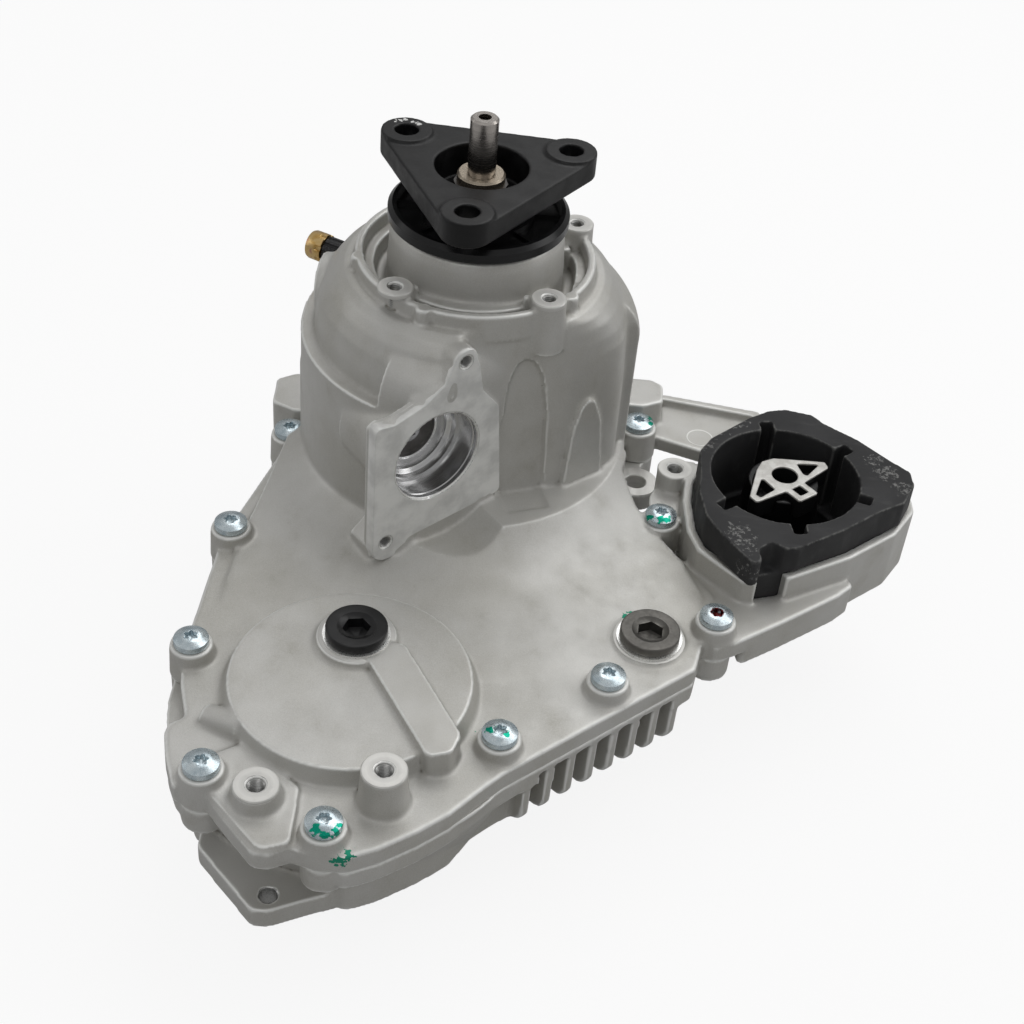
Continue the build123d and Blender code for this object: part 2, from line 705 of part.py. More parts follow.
def rear_holes():
    """Bolt, plug and thread holes."""
    cuts = [disc(xy, BOLT_R + 0.3, PARTING_Z - 1, BOSS_TOP + 1) for xy in ALL_BOLTS]
    cuts += [disc(xy, BOLT_HEAD_R + 0.6, BOSS_TOP, BOSS_TOP + 14) for xy in ALL_BOLTS]
    cuts.append(disc(FILL_XY, PLUG_THREAD_R + SEAT, 88, FILL_SEAT_Z + 1))
    cuts.append(disc(FILL_XY, SEAL_RING_R + 0.6, FILL_SEAT_Z, FILL_SEAT_Z + 8))
    cuts.append(disc(DRAIN_XY, SEAL_RING_R + 0.6, DRAIN_SEAT_Z, DRAIN_SEAT_Z + 8))
    stem_hole = breather_plane(BREATHER_START - 12) * Circle(BREATHER_STEM_R + SEAT)
    cuts.append(extrude(stem_hole, amount=13))
    cuts.append(disc(DRAIN_XY, PLUG_THREAD_R + SEAT, PARTING_Z - 1, DRAIN_SEAT_Z + 1))
    cuts.append(disc(CONE_BOSS_XY, THREAD_HOLE_R, CONE_BOSS_TOP - 18, CONE_BOSS_TOP + 1))
    cuts.append(disc(TALL_BOSS_XY, THREAD_HOLE_R, TALL_BOSS_TOP - 24, TALL_BOSS_TOP + 1))
    cuts.append(disc(WEB_BOSS_XY, THREAD_HOLE_R, RING_TOP - 18, RING_TOP + 1))
    for t, z in SERVO_HOLES:
        cuts.append(servo_round(t, z, SERVO_HOLE_R, SERVO_FACE - 16, SERVO_FACE + 1))
    over_ear = disc(EAR_XY, EAR_R + 1, PARTING_Z - 1, TOWER_FOOT_Z)
    cuts.append(over_ear - disc((0, 0), TOWER_R, PARTING_Z - 2, TOWER_FOOT_Z + 1))
    for xy in DOWELS:
        cuts.append(disc(xy, DOWEL_R + SEAT, PARTING_Z - 1, PARTING_Z + DOWEL_HALF + 0.2))
    return cuts


# Front housing

def fins():
    """Eight cooling fins on the finned side, rounded inwards at their lower ends."""
    bodies = []
    for i in range(8):
        along = -106.1 + 13.3 * i
        lower = FLOOR_Z + 1
        face = make_face([
            Polyline((180, PARTING_Z - 1), (180, lower), (FIN_FACE - 9, lower)),
            ThreePointArc(
                (FIN_FACE - 9, lower), (FIN_FACE - 3.2, lower + 3.4), (FIN_FACE - 1, lower + 10)
            ),
            Polyline(
                (FIN_FACE - 1, lower + 10), (FIN_FACE - 0.2, PARTING_Z - 1), (180, PARTING_Z - 1)
            ),
        ])
        across = Plane(
            origin=(FIN_U[0] * along, FIN_U[1] * along, 0), x_dir=(*FIN_N, 0),
            z_dir=(-FIN_U[0], -FIN_U[1], 0),
        )
        bodies.append(extrude(across * face, amount=2.6, both=True))
    return bodies


def front_boss():
    """Bearing housing of the front output, widening up to the flange."""
    return turned([
        (0, FRONT_BOSS_Z), (FRONT_BOSS_R - 2, FRONT_BOSS_Z), (FRONT_BOSS_R, FRONT_BOSS_Z + 2),
        (FRONT_BOSS_R + 1, 24), (72, 38), (76, 44), (83, 62), (86, PARTING_Z), (0, PARTING_Z),
    ], FRONT_AXIS)


def bell():
    """Housing of the input side with the bolted gearbox flange."""
    body = turned([
        (0, 0), (BELL_R, 0), (BELL_R, BELL_T), (84, BELL_T + 2), (80, 30), (84, FLOOR_Z + 4),
        (0, FLOOR_Z + 4),
    ])
    pocket = turned([
        (50, -1), (76, -1), (72, 30), (56, 34), (50, 30),
    ])
    body -= pocket
    for i in range(BELL_HOLES):
        angle = i * 360 / BELL_HOLES + 22.5
        web = Rot(0, 0, angle + 22.5) * (Pos(62, 0, 17) * Box(34, 5, 34))
        body += web & disc((0, 0), 82, 0, 40)
        xy = polar(BELL_PCR, angle)
        body -= disc(xy, BELL_HOLE_R, -1, BELL_T + 3)
    return body


def front_housing():
    """Lower casting with the chain room, both bearing seats and the fins."""
    body = prism(front_outline(0), PARTING_Z - FLANGE_T, PARTING_Z)
    body += prism(front_outline(9), FLOOR_Z, PARTING_Z - FLANGE_T + 1)
    body += [disc(xy, BOLT_BOSS_R, PARTING_Z - BOLT_BOSS_DEPTH, PARTING_Z) for xy in ALL_BOLTS]
    ear_block = outline([
        (70, 52), (94, 43), (105, 30), (99, 14), (98, -7), (88, -9), (70, -20),
    ], 3)
    body += prism(ear_block, PARTING_Z - FLANGE_T, PARTING_Z)
    body += disc(EAR_XY, EAR_R, PARTING_Z - FLANGE_T, PARTING_Z)
    body += front_boss()
    lug = outline([
        (-99.0, -238.0), (-98.1, -255.1), (-93.4, -260.3), (-68.0, -287.5), (-60.0, -287.0),
        (-47.0, -280.5), (-30.0, -273.0), (-30.0, -235.0),
    ], 5)
    body += prism(lug, LUG_TOP - LUG_T, LUG_TOP)
    body -= [front_finned_cut()]
    body += fins()
    body += bell()
    body -= front_cavities()
    return body


def front_finned_cut():
    """Room between the wall and the fins' faces."""
    face = outline([
        fin_point(FIN_FACE - 13, -100), fin_point(FIN_FACE + 20, -100),
        fin_point(FIN_FACE + 20, -16), fin_point(FIN_FACE - 13, -16),
    ])
    return prism(face, FLOOR_Z - 2, PARTING_Z - 4)


def front_cavities():
    """Chain room, bearing seats, seals' bores and holes."""
    seat_top = ROOM_FLOOR
    cuts = [
        prism(room_outline(), ROOM_FLOOR, PARTING_Z + 1),
        disc((0, 0), FRONT_BEARING_R + SEAT, FRONT_BEARING_Z, seat_top + 1),
        disc((0, 0), FRONT_BEARING_R - 3, -1, seat_top),
        disc(FRONT_AXIS, LOWER_BEARING_R + SEAT, LOWER_BEARING_Z, seat_top + 1),
        disc(FRONT_AXIS, LOWER_BEARING_R - 3, FRONT_BOSS_Z - 1, seat_top),
        disc(LUG_HOLE_XY, LUG_HOLE_R, LUG_TOP - LUG_T - 1, LUG_TOP + 1),
        disc(EAR_XY, EAR_HOLE_R, PARTING_Z - FLANGE_T - 1, PARTING_Z + 1),
    ]
    depth = PARTING_Z - (BOLT_GRIP - BOSS_H) - 1
    cuts += [disc(xy, BOLT_R + SEAT, depth, PARTING_Z + 1) for xy in ALL_BOLTS]
    for xy in DOWELS:
        cuts.append(disc(xy, DOWEL_R + SEAT, PARTING_Z - DOWEL_HALF - 0.2, PARTING_Z + 1))
    return cuts


# Fasteners, plugs and breather

def perimeter_bolts():
    """Pan head bolts with a plain socket."""
    bolts = []
    for xy in ALL_BOLTS:
        head = turned([
            (0, BOSS_TOP), (BOLT_HEAD_R, BOSS_TOP), (BOLT_HEAD_R, BOSS_TOP + 2.6),
            (BOLT_HEAD_R * 0.72, BOSS_TOP + BOLT_HEAD_H - 0.7),
            (BOLT_HEAD_R * 0.45, BOSS_TOP + BOLT_HEAD_H), (0, BOSS_TOP + BOLT_HEAD_H),
        ], xy)
        socket = prism(Pos(*xy) * RegularPolygon(3.0, 6), BOSS_TOP + 3, BOSS_TOP + BOLT_HEAD_H + 1)
        bolts.append(head + disc(xy, BOLT_R, BOSS_TOP - BOLT_GRIP, BOSS_TOP + 1) - socket)
    return Compound(children=bolts)


def dowel_sleeves():
    """Two hollow dowels across the parting plane."""
    low = PARTING_Z - DOWEL_HALF
    high = PARTING_Z + DOWEL_HALF
    return Compound(children=[ring(xy, DOWEL_R, DOWEL_BORE_R, low, high) for xy in DOWELS])


def plug(xy, seat):
    """Screw plug with a hexagon socket."""
    low = seat + SEAL_RING_T
    body = disc(xy, PLUG_R, low, low + PLUG_HEAD_H - 1)
    body += taper(xy, PLUG_R, low + PLUG_HEAD_H - 1, PLUG_R - 1, low + PLUG_HEAD_H)
    body += disc(xy, PLUG_THREAD_R, seat - PLUG_THREAD_L, low + 1)
    socket = prism(Pos(*xy) * RegularPolygon(PLUG_KEY / 2, 6, major_radius=False),
                   seat - 2, low + PLUG_HEAD_H + 1)
    return body - socket


def plug_seal(xy, seat):
    """Flat sealing ring under a plug's head."""
    return ring(xy, SEAL_RING_R, PLUG_THREAD_R + 0.3, seat, seat + SEAL_RING_T)


def breather_plane(distance):
    """Plane across the breather's axis."""
    direction = (cos(radians(BREATHER_DIR)), sin(radians(BREATHER_DIR)), 0)
    across = (sin(radians(BREATHER_DIR)), -cos(radians(BREATHER_DIR)), 0)
    centre = (direction[0] * distance, direction[1] * distance, BREATHER_Z)
    return Plane(origin=centre, x_dir=across, z_dir=direction)


def breather_body():
    """Serrated stem of the breather."""
    teeth = Circle(BREATHER_R)
    for i in range(10):
        teeth -= Rot(0, 0, 36 * i) * Pos(BREATHER_R + 0.2, 0) * Rectangle(1.6, 1.6)
    body = extrude(breather_plane(BREATHER_START) * teeth, amount=BREATHER_L)
    stem = breather_plane(BREATHER_START - 8) * Circle(BREATHER_STEM_R)
    return body + extrude(stem, amount=BREATHER_L + 14)


def breather_cap():
    """Metal cap over the stem's outer end."""
    start = BREATHER_START + BREATHER_L
    cap = extrude(breather_plane(start + GAP) * Circle(BREATHER_R + 0.6), amount=BREATHER_L)
    return cap - extrude(breather_plane(start) * Circle(BREATHER_STEM_R + SEAT), amount=6)


# Rubber mount

def core_outline():
    """Arrow-shaped head of the die-cast core."""
    return outline([
        (154.1, -45.3), (157.6, -49.8), (174.0, -38.2), (180.5, -46.0), (191.1, -37.3),
        (184.0, -29.5), (198.4, -14.5), (196.6, -9.8), (168.8, -10.6), (162.2, -14.4),
        (159.0, -22.0),
    ], 1.5)


def mount_core():
    """Die-cast core with pockets and a through bolt hole."""
    body = prism(core_outline(), CORE_TOP - CORE_T, CORE_TOP)
    body += disc(CORE_XY, CORE_SLEEVE_R, RUBBER_BOTTOM - 1, CORE_TOP - 1)
    pockets = [
        outline([(157.5, -43.5), (160.0, -45.5), (168.0, -37.5), (161.5, -28.5)], 1),
        outline([(181.0, -13.5), (193.5, -12.3), (186.0, -23.5), (184.0, -22.0)], 1),
        outline([(177.0, -36.0), (181.5, -41.0), (186.0, -37.0), (181.5, -32.0)], 0.8),
    ]
    for face in pockets:
        body -= prism(face, CORE_TOP - 7, CORE_TOP + 1)
    return body - disc(CORE_XY, CORE_HOLE_R, RUBBER_BOTTOM - 2, CORE_TOP + 1)


def mount_rubber():
    """Rubber body with a round opening, radial slots and the pillar that holds the core."""
    body = prism(offset(ring_inside(), amount=-SEAT), RUBBER_BOTTOM, RING_TOP + 0.5)
    body += prism(outline(RUBBER_OUTLINE, 3), RING_TOP + 0.4, RUBBER_TOP)
    opening = Pos(*MOUNT_XY) * Circle(MOUNT_BORE_R)
    for angle in SLOT_ANGLES:
        opening += Pos(*MOUNT_XY) * Rot(0, 0, angle) * Pos(MOUNT_BORE_R, 0) * Rectangle(
            2 * SLOT_D, SLOT_W
        )
    body -= prism(opening, RUBBER_BOTTOM + MOUNT_FLOOR_T, RUBBER_TOP + 1)
    body += taper(CORE_XY, PILLAR_R + 5, RUBBER_BOTTOM + 1, PILLAR_R, CORE_TOP - 4)
    body -= disc(CORE_XY, CORE_SLEEVE_R, RUBBER_BOTTOM - 1, RUBBER_TOP)
    body -= prism(core_outline(), CORE_TOP - CORE_T, RUBBER_TOP)
    return body


# Bearings

def outer_race(xy, outer, width, low, ball, mid):
    """Outer ring with a groove for the balls."""
    centre = low + width / 2
    inner = mid + ball * 0.62
    body = ring(xy, outer, inner, low, low + width)
    groove = turned([
        (inner - 1, centre - ball), (mid + ball + RUN, centre - ball / 2),
        (mid + ball + RUN, centre + ball / 2), (inner - 1, centre + ball),
    ], xy)
    return body - groove


def inner_race(xy, bore, width, low, ball, mid):
    """Inner ring with a groove for the balls."""
    centre = low + width / 2
    outer = mid - ball * 0.62
    body = ring(xy, outer, bore, low, low + width)
    groove = turned([
        (outer + 1, centre - ball), (mid - ball - RUN, centre - ball / 2),
        (mid - ball - RUN, centre + ball / 2), (outer + 1, centre + ball),
    ], xy)
    return body - groove


def ball_set(xy, mid, ball, height, count):
    """Ring of balls, each within both grooves."""
    balls = []
    for i in range(count):
        x, y = polar(mid, 360 * i / count, xy)
        balls.append(Pos(x, y, height) * Sphere(ball))
    return Compound(children=balls)


def seal(xy, outer, inner, low, high):
    """Lip seal as a stepped ring."""
    return ring(xy, outer, inner + 2.5, low, high) + ring(xy, outer - 1, inner + RUN, high - 2.5, high)


# Main shaft group

def main_shaft():
    """Stepped shaft from the splined input socket to the threaded rear stub."""
    body = turned([
        (0, 6), (INPUT_R - RUN, 6), (INPUT_R - RUN, 34), (26, 34), (26, 44), (JOURNAL_R, 44),
        (JOURNAL_R, PACK_Z - 1.5), (HUB_SEAT_R, PACK_Z - 1.5), (HUB_SEAT_R, 103), (SHAFT_R, 103),
        (SHAFT_R, 206),
        (20, 206), (20, REAR_BEARING_Z), (SHAFT_SEAT_R - SEAT, REAR_BEARING_Z),
        (SHAFT_SEAT_R - SEAT, 231), (STUB_R, 231), (STUB_R, 251), (10, 251), (10, 262), (0, 262),
    ])
    spline = Circle(INPUT_BORE_R)
    for i in range(SPLINES):
        spline += Rot(0, 0, 360 / SPLINES * i) * Pos(INPUT_BORE_R, 0) * Rectangle(3, 1.8)
    body -= prism(spline, 5, 6 + INPUT_BORE_L)
    return body - disc((0, 0), PIN_SEAT_R + SEAT, PIN_SEAT_Z, 263)


def rear_output_flange():
    """Three-armed flange on a tapered hub."""
    low = OUT_FACE_Z - OUT_ARM_T
    pads = [polar(OUT_PCR, a) for a in OUT_ANGLES]
    plate = make_hull([*[e for p in pads for e in (Pos(*p) * Circle(OUT_PAD_R)).edges()]])
    body = prism(plate, low, OUT_FACE_Z)
    body += turned([
        (0, 232), (OUT_HUB_R, 232), (OUT_HUB_R, 244), (30, low + 0.5), (0, low + 0.5),
    ])
    for p in pads:
        body += disc(p, OUT_PAD_R, OUT_FACE_Z - 1, OUT_FACE_Z + 1.6)
        body -= disc(p, OUT_HOLE_R, low - 1, OUT_FACE_Z + 3)
    body -= disc((0, 0), OUT_OPEN_R, OUT_FACE_Z - OUT_OPEN_D, OUT_FACE_Z + 3)
    return body - disc((0, 0), STUB_R + SEAT, 231, OUT_FACE_Z)


def flange_nut():
    """Twelve-sided nut that clamps the flange."""
    low = OUT_FACE_Z - OUT_OPEN_D
    body = prism(RegularPolygon(NUT_R, 12), low, low + 8)
    return body - disc((0, 0), 10 + SEAT, low - 1, low + 9)


def shaft_collar():
    """Locking collar round the centring pin."""
    low = OUT_FACE_Z - OUT_OPEN_D + 8
    body = disc((0, 0), COLLAR_R, low, COLLAR_TOP - 1)
    body += taper((0, 0), COLLAR_R, COLLAR_TOP - 1, COLLAR_R - 1, COLLAR_TOP)
    body -= disc((0, 0), 10 + SEAT, low - 1, 262.2)
    return body - disc((0, 0), PIN_SEAT_R + SEAT, low, COLLAR_TOP + 1)


def centring_pin():
    """Ground pin with a drilled end."""
    body = disc((0, 0), PIN_SEAT_R, PIN_SEAT_Z, PIN_FOOT_Z)
    body += disc((0, 0), PIN_R, PIN_FOOT_Z, PIN_TOP - 1)
    body += taper((0, 0), PIN_R, PIN_TOP - 1, PIN_R - 1, PIN_TOP)
    return body - disc((0, 0), 3.2, PIN_TOP - 16, PIN_TOP + 1)


def dust_shield():
    """Ribbed cup on the flange's hub over the rear seal."""
    body = turned([
        (OUT_HUB_R, 242.5), (40, 242.5), (43, SHIELD_BOTTOM), (SHIELD_R, SHIELD_BOTTOM),
        (SHIELD_R, SHIELD_BOTTOM + 4.5), (SHIELD_R - 2.2, SHIELD_TOP), (SHIELD_R - 4.4, SHIELD_TOP),
        (SHIELD_R - 5.2, 244.5), (OUT_HUB_R + 4, 244.5), (OUT_HUB_R + 4, 247), (OUT_HUB_R + 2, 247),
        (OUT_HUB_R + 2, 244.0), (OUT_HUB_R, 244.0),
    ])
    for i in range(8):
        body += Rot(0, 0, 45 * i) * (Pos(34, 0, 245.1) * Box(13, 1.6, 1.6))
    return body


# Clutch

def lugged(radius, extra, count, width):
    """Circle with lugs round it."""
    face = Circle(radius)
    for i in range(count):
        face += Rot(0, 0, 360 / count * i) * Pos(radius, 0) * Rectangle(2 * extra, width)
    return face


def clutch_drum():
    """Open drum with axial grooves for the steel plates."""
    body = disc((0, 0), DRUM_R, DRUM_Z, DRUM_TOP)
    body -= disc((0, 0), DRUM_BORE_R - DRIVE_LUG, DRUM_Z + DRUM_T, DRUM_TOP + 1)
    grooves = lugged(DRUM_BORE_R - DRIVE_LUG - 1, DRIVE_LUG + 1, LUG_COUNT, 9)
    body -= prism(grooves, DRUM_Z + DRUM_T, DRUM_TOP + 1)
    return body - disc((0, 0), 30, DRUM_Z - 1, DRUM_TOP + 1)


def clutch_hub():
    """Splined hub that carries the friction plates."""
    body = disc((0, 0), HUB_R, PACK_Z, PACK_TOP)
    body -= ring((0, 0), HUB_R - 5, HUB_SEAT_R + 6, SPRING_LOW, PACK_TOP + 1)
    outer = lugged(HUB_R, 1.6, LUG_COUNT, 7) - Circle(HUB_R - 1)
    body += prism(outer, PACK_Z, PACK_TOP)
    return body - disc((0, 0), HUB_SEAT_R + SEAT, PACK_Z - 2, PACK_TOP + 1)


def friction_plates():
    """Plates driven by the hub's splines."""
    hole = lugged(HUB_R + RUN * 4, 1.6 + RUN * 2, LUG_COUNT, 7.4)
    plates = []
    for i in range(PLATE_COUNT):
        low = PACK_Z + PLATE_STEP * (i + 0.5)
        plates.append(prism(Circle(59) - hole, low, low + PLATE_T))
    return Compound(children=plates)


def steel_plates():
    """Plates driven by the drum's grooves."""
    outer = lugged(DRUM_BORE_R - DRIVE_LUG - GAP, DRIVE_LUG, LUG_COUNT, 8.4) - Circle(47)
    plates = []
    for i in range(PLATE_COUNT):
        low = PACK_Z + PLATE_STEP * i
        plates.append(prism(outer, low, low + PLATE_T))
    return Compound(children=plates)


def pressure_plate():
    """Plate that the actuator presses on the pack."""
    outer = lugged(DRUM_BORE_R - DRIVE_LUG - GAP, DRIVE_LUG, LUG_COUNT, 8.4)
    body = prism(outer - Circle(46), PRESS_Z, PRESS_Z + PRESS_T)
    return body + ring((0, 0), 47, 27, PRESS_Z + PRESS_T - PRESS_WEB_T, PRESS_Z + PRESS_T)


def return_spring():
    """Pair of disc springs between hub and pressure plate."""
    high = PRESS_Z + PRESS_T - PRESS_WEB_T
    middle = (SPRING_LOW + high) / 2
    return turned([
        (28, SPRING_LOW), (30, SPRING_LOW), (37, middle - 0.45), (37, middle + 0.45), (30, high),
        (28, high), (28, high - 1), (34.5, middle), (28, SPRING_LOW + 1),
    ])


def thrust_bearing():
    """Flat roller cage between the pressure plate and the ramp ring."""
    low = PRESS_Z + PRESS_T
    return prism(Circle(46) - Circle(30), low, low + THRUST_T)


def groove_ring(level):
    """Ring-shaped groove that the ramp balls roll in."""
    return turned([
        (BALL_TRACK_R - BALL_R - GAP, level - 1.5), (BALL_TRACK_R + BALL_R + GAP, level - 1.5),
        (BALL_TRACK_R + BALL_R + GAP, level + 1.5), (BALL_TRACK_R - BALL_R - GAP, level + 1.5),
    ])


def ramp_ring():
    """Pressing ring, kept from turning by two keys in the housing."""
    body = prism(Circle(48) - Circle(27), RAMP_Z, RAMP_Z + RAMP_T)
    return body - groove_ring(RAMP_Z + RAMP_T)


def control_ring():
    """Worm wheel ring that turns on the support ring and spreads the ramps."""
    root = WHEEL_R - TOOTH_H / 2
    face = Circle(root)
    for i in range(WHEEL_TEETH):
        tooth = outline([
            (root - 1, -1.6), (root + TOOTH_H, -0.8), (root + TOOTH_H, 0.8), (root - 1, 1.6),
        ])
        face += Rot(0, 0, 360 / WHEEL_TEETH * (i + 0.5) + SERVO_DIR - 90) * tooth
    body = prism(face, RIM_Z, RIM_Z + CONTROL_T)
    body += disc((0, 0), root - 0.5, CONTROL_Z, RIM_Z + 1)
    body -= disc((0, 0), 33, CONTROL_Z - 1, RIM_Z + CONTROL_T + 1)
    return body - groove_ring(CONTROL_Z)


def support_ring():
    """Fixed ring that carries the actuator's thrust."""
    low = RIM_Z + CONTROL_T + 4
    return prism(Circle(RING_ROOM_R - SEAT) - Circle(24), low, low + 6)


def support_bearing():
    """Flat roller cage under the support ring."""
    low = RIM_Z + CONTROL_T
    return prism(Circle(45) - Circle(34), low, low + 4)


def worm_shaft():
    """Right-hand worm with its journals and the motor's square socket."""
    lead = 2 * pi * WHEEL_R / WHEEL_TEETH
    reach = WORM_TURNS / 2 * lead
    path = Helix(pitch=lead, height=2 * reach, radius=WORM_PITCH_R)
    section = Plane.XZ * make_face(Polyline(
        (WORM_CORE_R - 0.4, -1.15), (WORM_R, -0.7), (WORM_R, 0.7), (WORM_CORE_R - 0.4, 1.15),
        close=True,
    ))
    thread = sweep(section, path=path, is_frenet=True)
    body = servo_round(SERVO_T, SERVO_Z, 6, -44, 34)
    body += servo_round(SERVO_T, SERVO_Z, WORM_CORE_R, -24, 24)
    body += SERVO_PLANE.location * Pos(SERVO_T, SERVO_Z, -reach) * thread
    return body - along_servo(Pos(SERVO_T, SERVO_Z) * Rectangle(6, 6), 26, 35)


def worm_bushes():
    """Bushes of the worm at both ends."""
    def bush(low, high, outer):
        face = Pos(SERVO_T, SERVO_Z) * (Circle(outer) - Circle(6 + RUN))
        return along_servo(face, low, high)

    return Compound(children=[bush(-49, -40, 7.5), bush(26.5, 33, SERVO_STEP_R - SEAT)])


# Sprockets and chain

def sprocket_face():
    """Toothed outline, one tooth in the middle of every link."""
    mid = SPROCKET_R * cos(pi / TEETH)
    points = []
    for i in range(TEETH):
        angle = radians(360 / TEETH * (i + 0.5) + FRONT_DIR + 90)
        for out, side in ((mid - 5.4, -2.4), (mid - 0.7, -1.5), (mid - 0.7, 1.5), (mid - 5.4, 2.4)):
            x = out * cos(angle) - side * sin(angle)
            y = out * sin(angle) + side * cos(angle)
            points.append((x, y))
    return make_face(Polyline(*points, close=True))


def upper_sprocket():
    """Sprocket on needle rollers, joined to the drum."""
    body = prism(sprocket_face(), CHAIN_Z, CHAIN_Z + CHAIN_W)
    body += disc((0, 0), 40, CHAIN_Z + CHAIN_W - 1, DRUM_Z)
    body += disc((0, 0), 30 - SEAT, DRUM_Z - 1, DRUM_Z + DRUM_T - 1)
    return body - disc((0, 0), JOURNAL_R + 4 + RUN, CHAIN_Z - 1, DRUM_Z + DRUM_T + 1)


def needle_cage():
    """Needle cage between the shaft and the upper sprocket."""
    return ring((0, 0), JOURNAL_R + 4, JOURNAL_R + RUN, CHAIN_Z + 1, DRUM_Z)


def lower_sprocket():
    """Sprocket fixed to the front output shaft."""
    body = prism(sprocket_face(), CHAIN_Z, CHAIN_Z + CHAIN_W)
    body += disc((0, 0), 24, CHAIN_Z - 5, CHAIN_Z + CHAIN_W + 3)
    body -= disc((0, 0), 18 + SEAT, CHAIN_Z - 6, CHAIN_Z + CHAIN_W + 4)
    return Pos(FRONT_X, FRONT_Y, 0) * body


def link_face():
    """Side view of a toothed chain link, back upwards."""
    h = PITCH / 2
    return [
        (-h - 1.9, LINK_TOP), (h + 1.9, LINK_TOP), (h + 2.6, 1.4), (h + 2.4, -0.6),
        (h + 1.2, -TOE_D), (h - 0.5, -TOE_D), (h - 2.3, -0.1), (-h + 2.3, -0.1),
        (-h + 0.5, -TOE_D), (-h - 1.2, -TOE_D), (-h - 2.4, -0.6), (-h - 2.6, 1.4),
    ]


def link_places():
    """Centre and heading of every link round the two sprockets."""
    places = []
    start = radians(FRONT_DIR)
    run = (cos(start), sin(start))
    side = (-run[1], run[0])
    mid = SPROCKET_R * cos(pi / TEETH)
    for i in range(LINKS_BETWEEN):
        along = PITCH * (i + 0.5)
        for sign in (1, -1):
            x = run[0] * along + sign * side[0] * SPROCKET_R
            y = run[1] * along + sign * side[1] * SPROCKET_R
            heading = degrees(start) if sign > 0 else degrees(start) + 180
            places.append((x, y, heading, i if sign > 0 else -i - 1))
    for i in range(TEETH // 2):
        turn = 360 / TEETH * (i + 0.5)
        upper = degrees(start) + 90 + turn
        lower = degrees(start) - 90 + turn
        x, y = polar(mid, upper)
        places.append((x, y, upper - 90, -1 - i))
        x, y = polar(mid, lower, FRONT_AXIS)
        places.append((x, y, lower - 90, LINKS_BETWEEN + TEETH // 2 - 1 - i))
    return places


def chain():
    """Toothed chain: middle links alternate with pairs of side links."""
    face = link_face()
    band = CHAIN_W / 2 - 0.2
    links = []
    for x, y, heading, order in link_places():
        turned_face = []
        for u, v in face:
            a = radians(heading)
            turned_face.append((x + u * cos(a) - v * sin(a), y + u * sin(a) + v * cos(a)))
        flat = make_face(Polyline(*turned_face, close=True))
        if order % 2:
            links.append(prism(flat, CHAIN_Z + CHAIN_W / 4 + 0.1, CHAIN_Z + 3 * CHAIN_W / 4 - 0.1))
        else:
            links.append(prism(flat, CHAIN_Z, CHAIN_Z + CHAIN_W / 4 - 0.1))
            links.append(prism(flat, CHAIN_Z + 3 * CHAIN_W / 4 + 0.1, CHAIN_Z + CHAIN_W))
    return Compound(children=links)


# Front output

def front_output_shaft():
    """Stepped shaft that carries the lower sprocket."""
    return turned([
        (0, 4), (13, 4), (13, 16), (FRONT_SEAT_R, 16), (FRONT_SEAT_R, LOWER_BEARING_Z),
        (FRONT_SEAT_R + 1 - SEAT, LOWER_BEARING_Z), (FRONT_SEAT_R + 1 - SEAT, 42), (20, 42),
        (20, CHAIN_Z - 5), (18, CHAIN_Z - 5), (18, 76.5), (14, 76.5), (14, UPPER_BEARING_Z),
        (UPPER_BEARING_BORE - SEAT, UPPER_BEARING_Z), (UPPER_BEARING_BORE - SEAT, 91), (0, 91),
    ], FRONT_AXIS)


def front_output_flange():
    """Round flange with tapped holes for the front propeller shaft."""
    body = disc((0, 0), FRONT_FLANGE_R, 0, FRONT_FLANGE_T)
    body += disc((0, 0), FRONT_HUB_R, FRONT_FLANGE_T - 1, 21)
    body -= disc((0, 0), 20, -1, 4)
    body -= disc((0, 0), 13 + SEAT, -1, 16)
    body -= disc((0, 0), FRONT_SEAT_R + SEAT, 16, 22)
    for i in range(FRONT_HOLES):
        body -= disc(polar(FRONT_PCR, 90 * i + 45), FRONT_HOLE_R, -1, FRONT_FLANGE_T + 1)
    return Pos(FRONT_X, FRONT_Y, 0) * body


def front_dust_ring():
    """Sheet ring on the flange's hub below the front seal."""
    return turned([
        (FRONT_HUB_R + SEAT, FRONT_FLANGE_T), (50, FRONT_FLANGE_T), (DUST_RING_R, 10.5),
        (DUST_RING_R, 14), (DUST_RING_R - 2, 14), (DUST_RING_R - 2, 11.8), (49.5, 10),
        (FRONT_HUB_R + SEAT, 10),
    ], FRONT_AXIS)


def front_nut():
    """Nut in the front flange's recess."""
    body = prism(RegularPolygon(17, 6), 1, 4 - SEAT)
    return Pos(FRONT_X, FRONT_Y, 0) * body


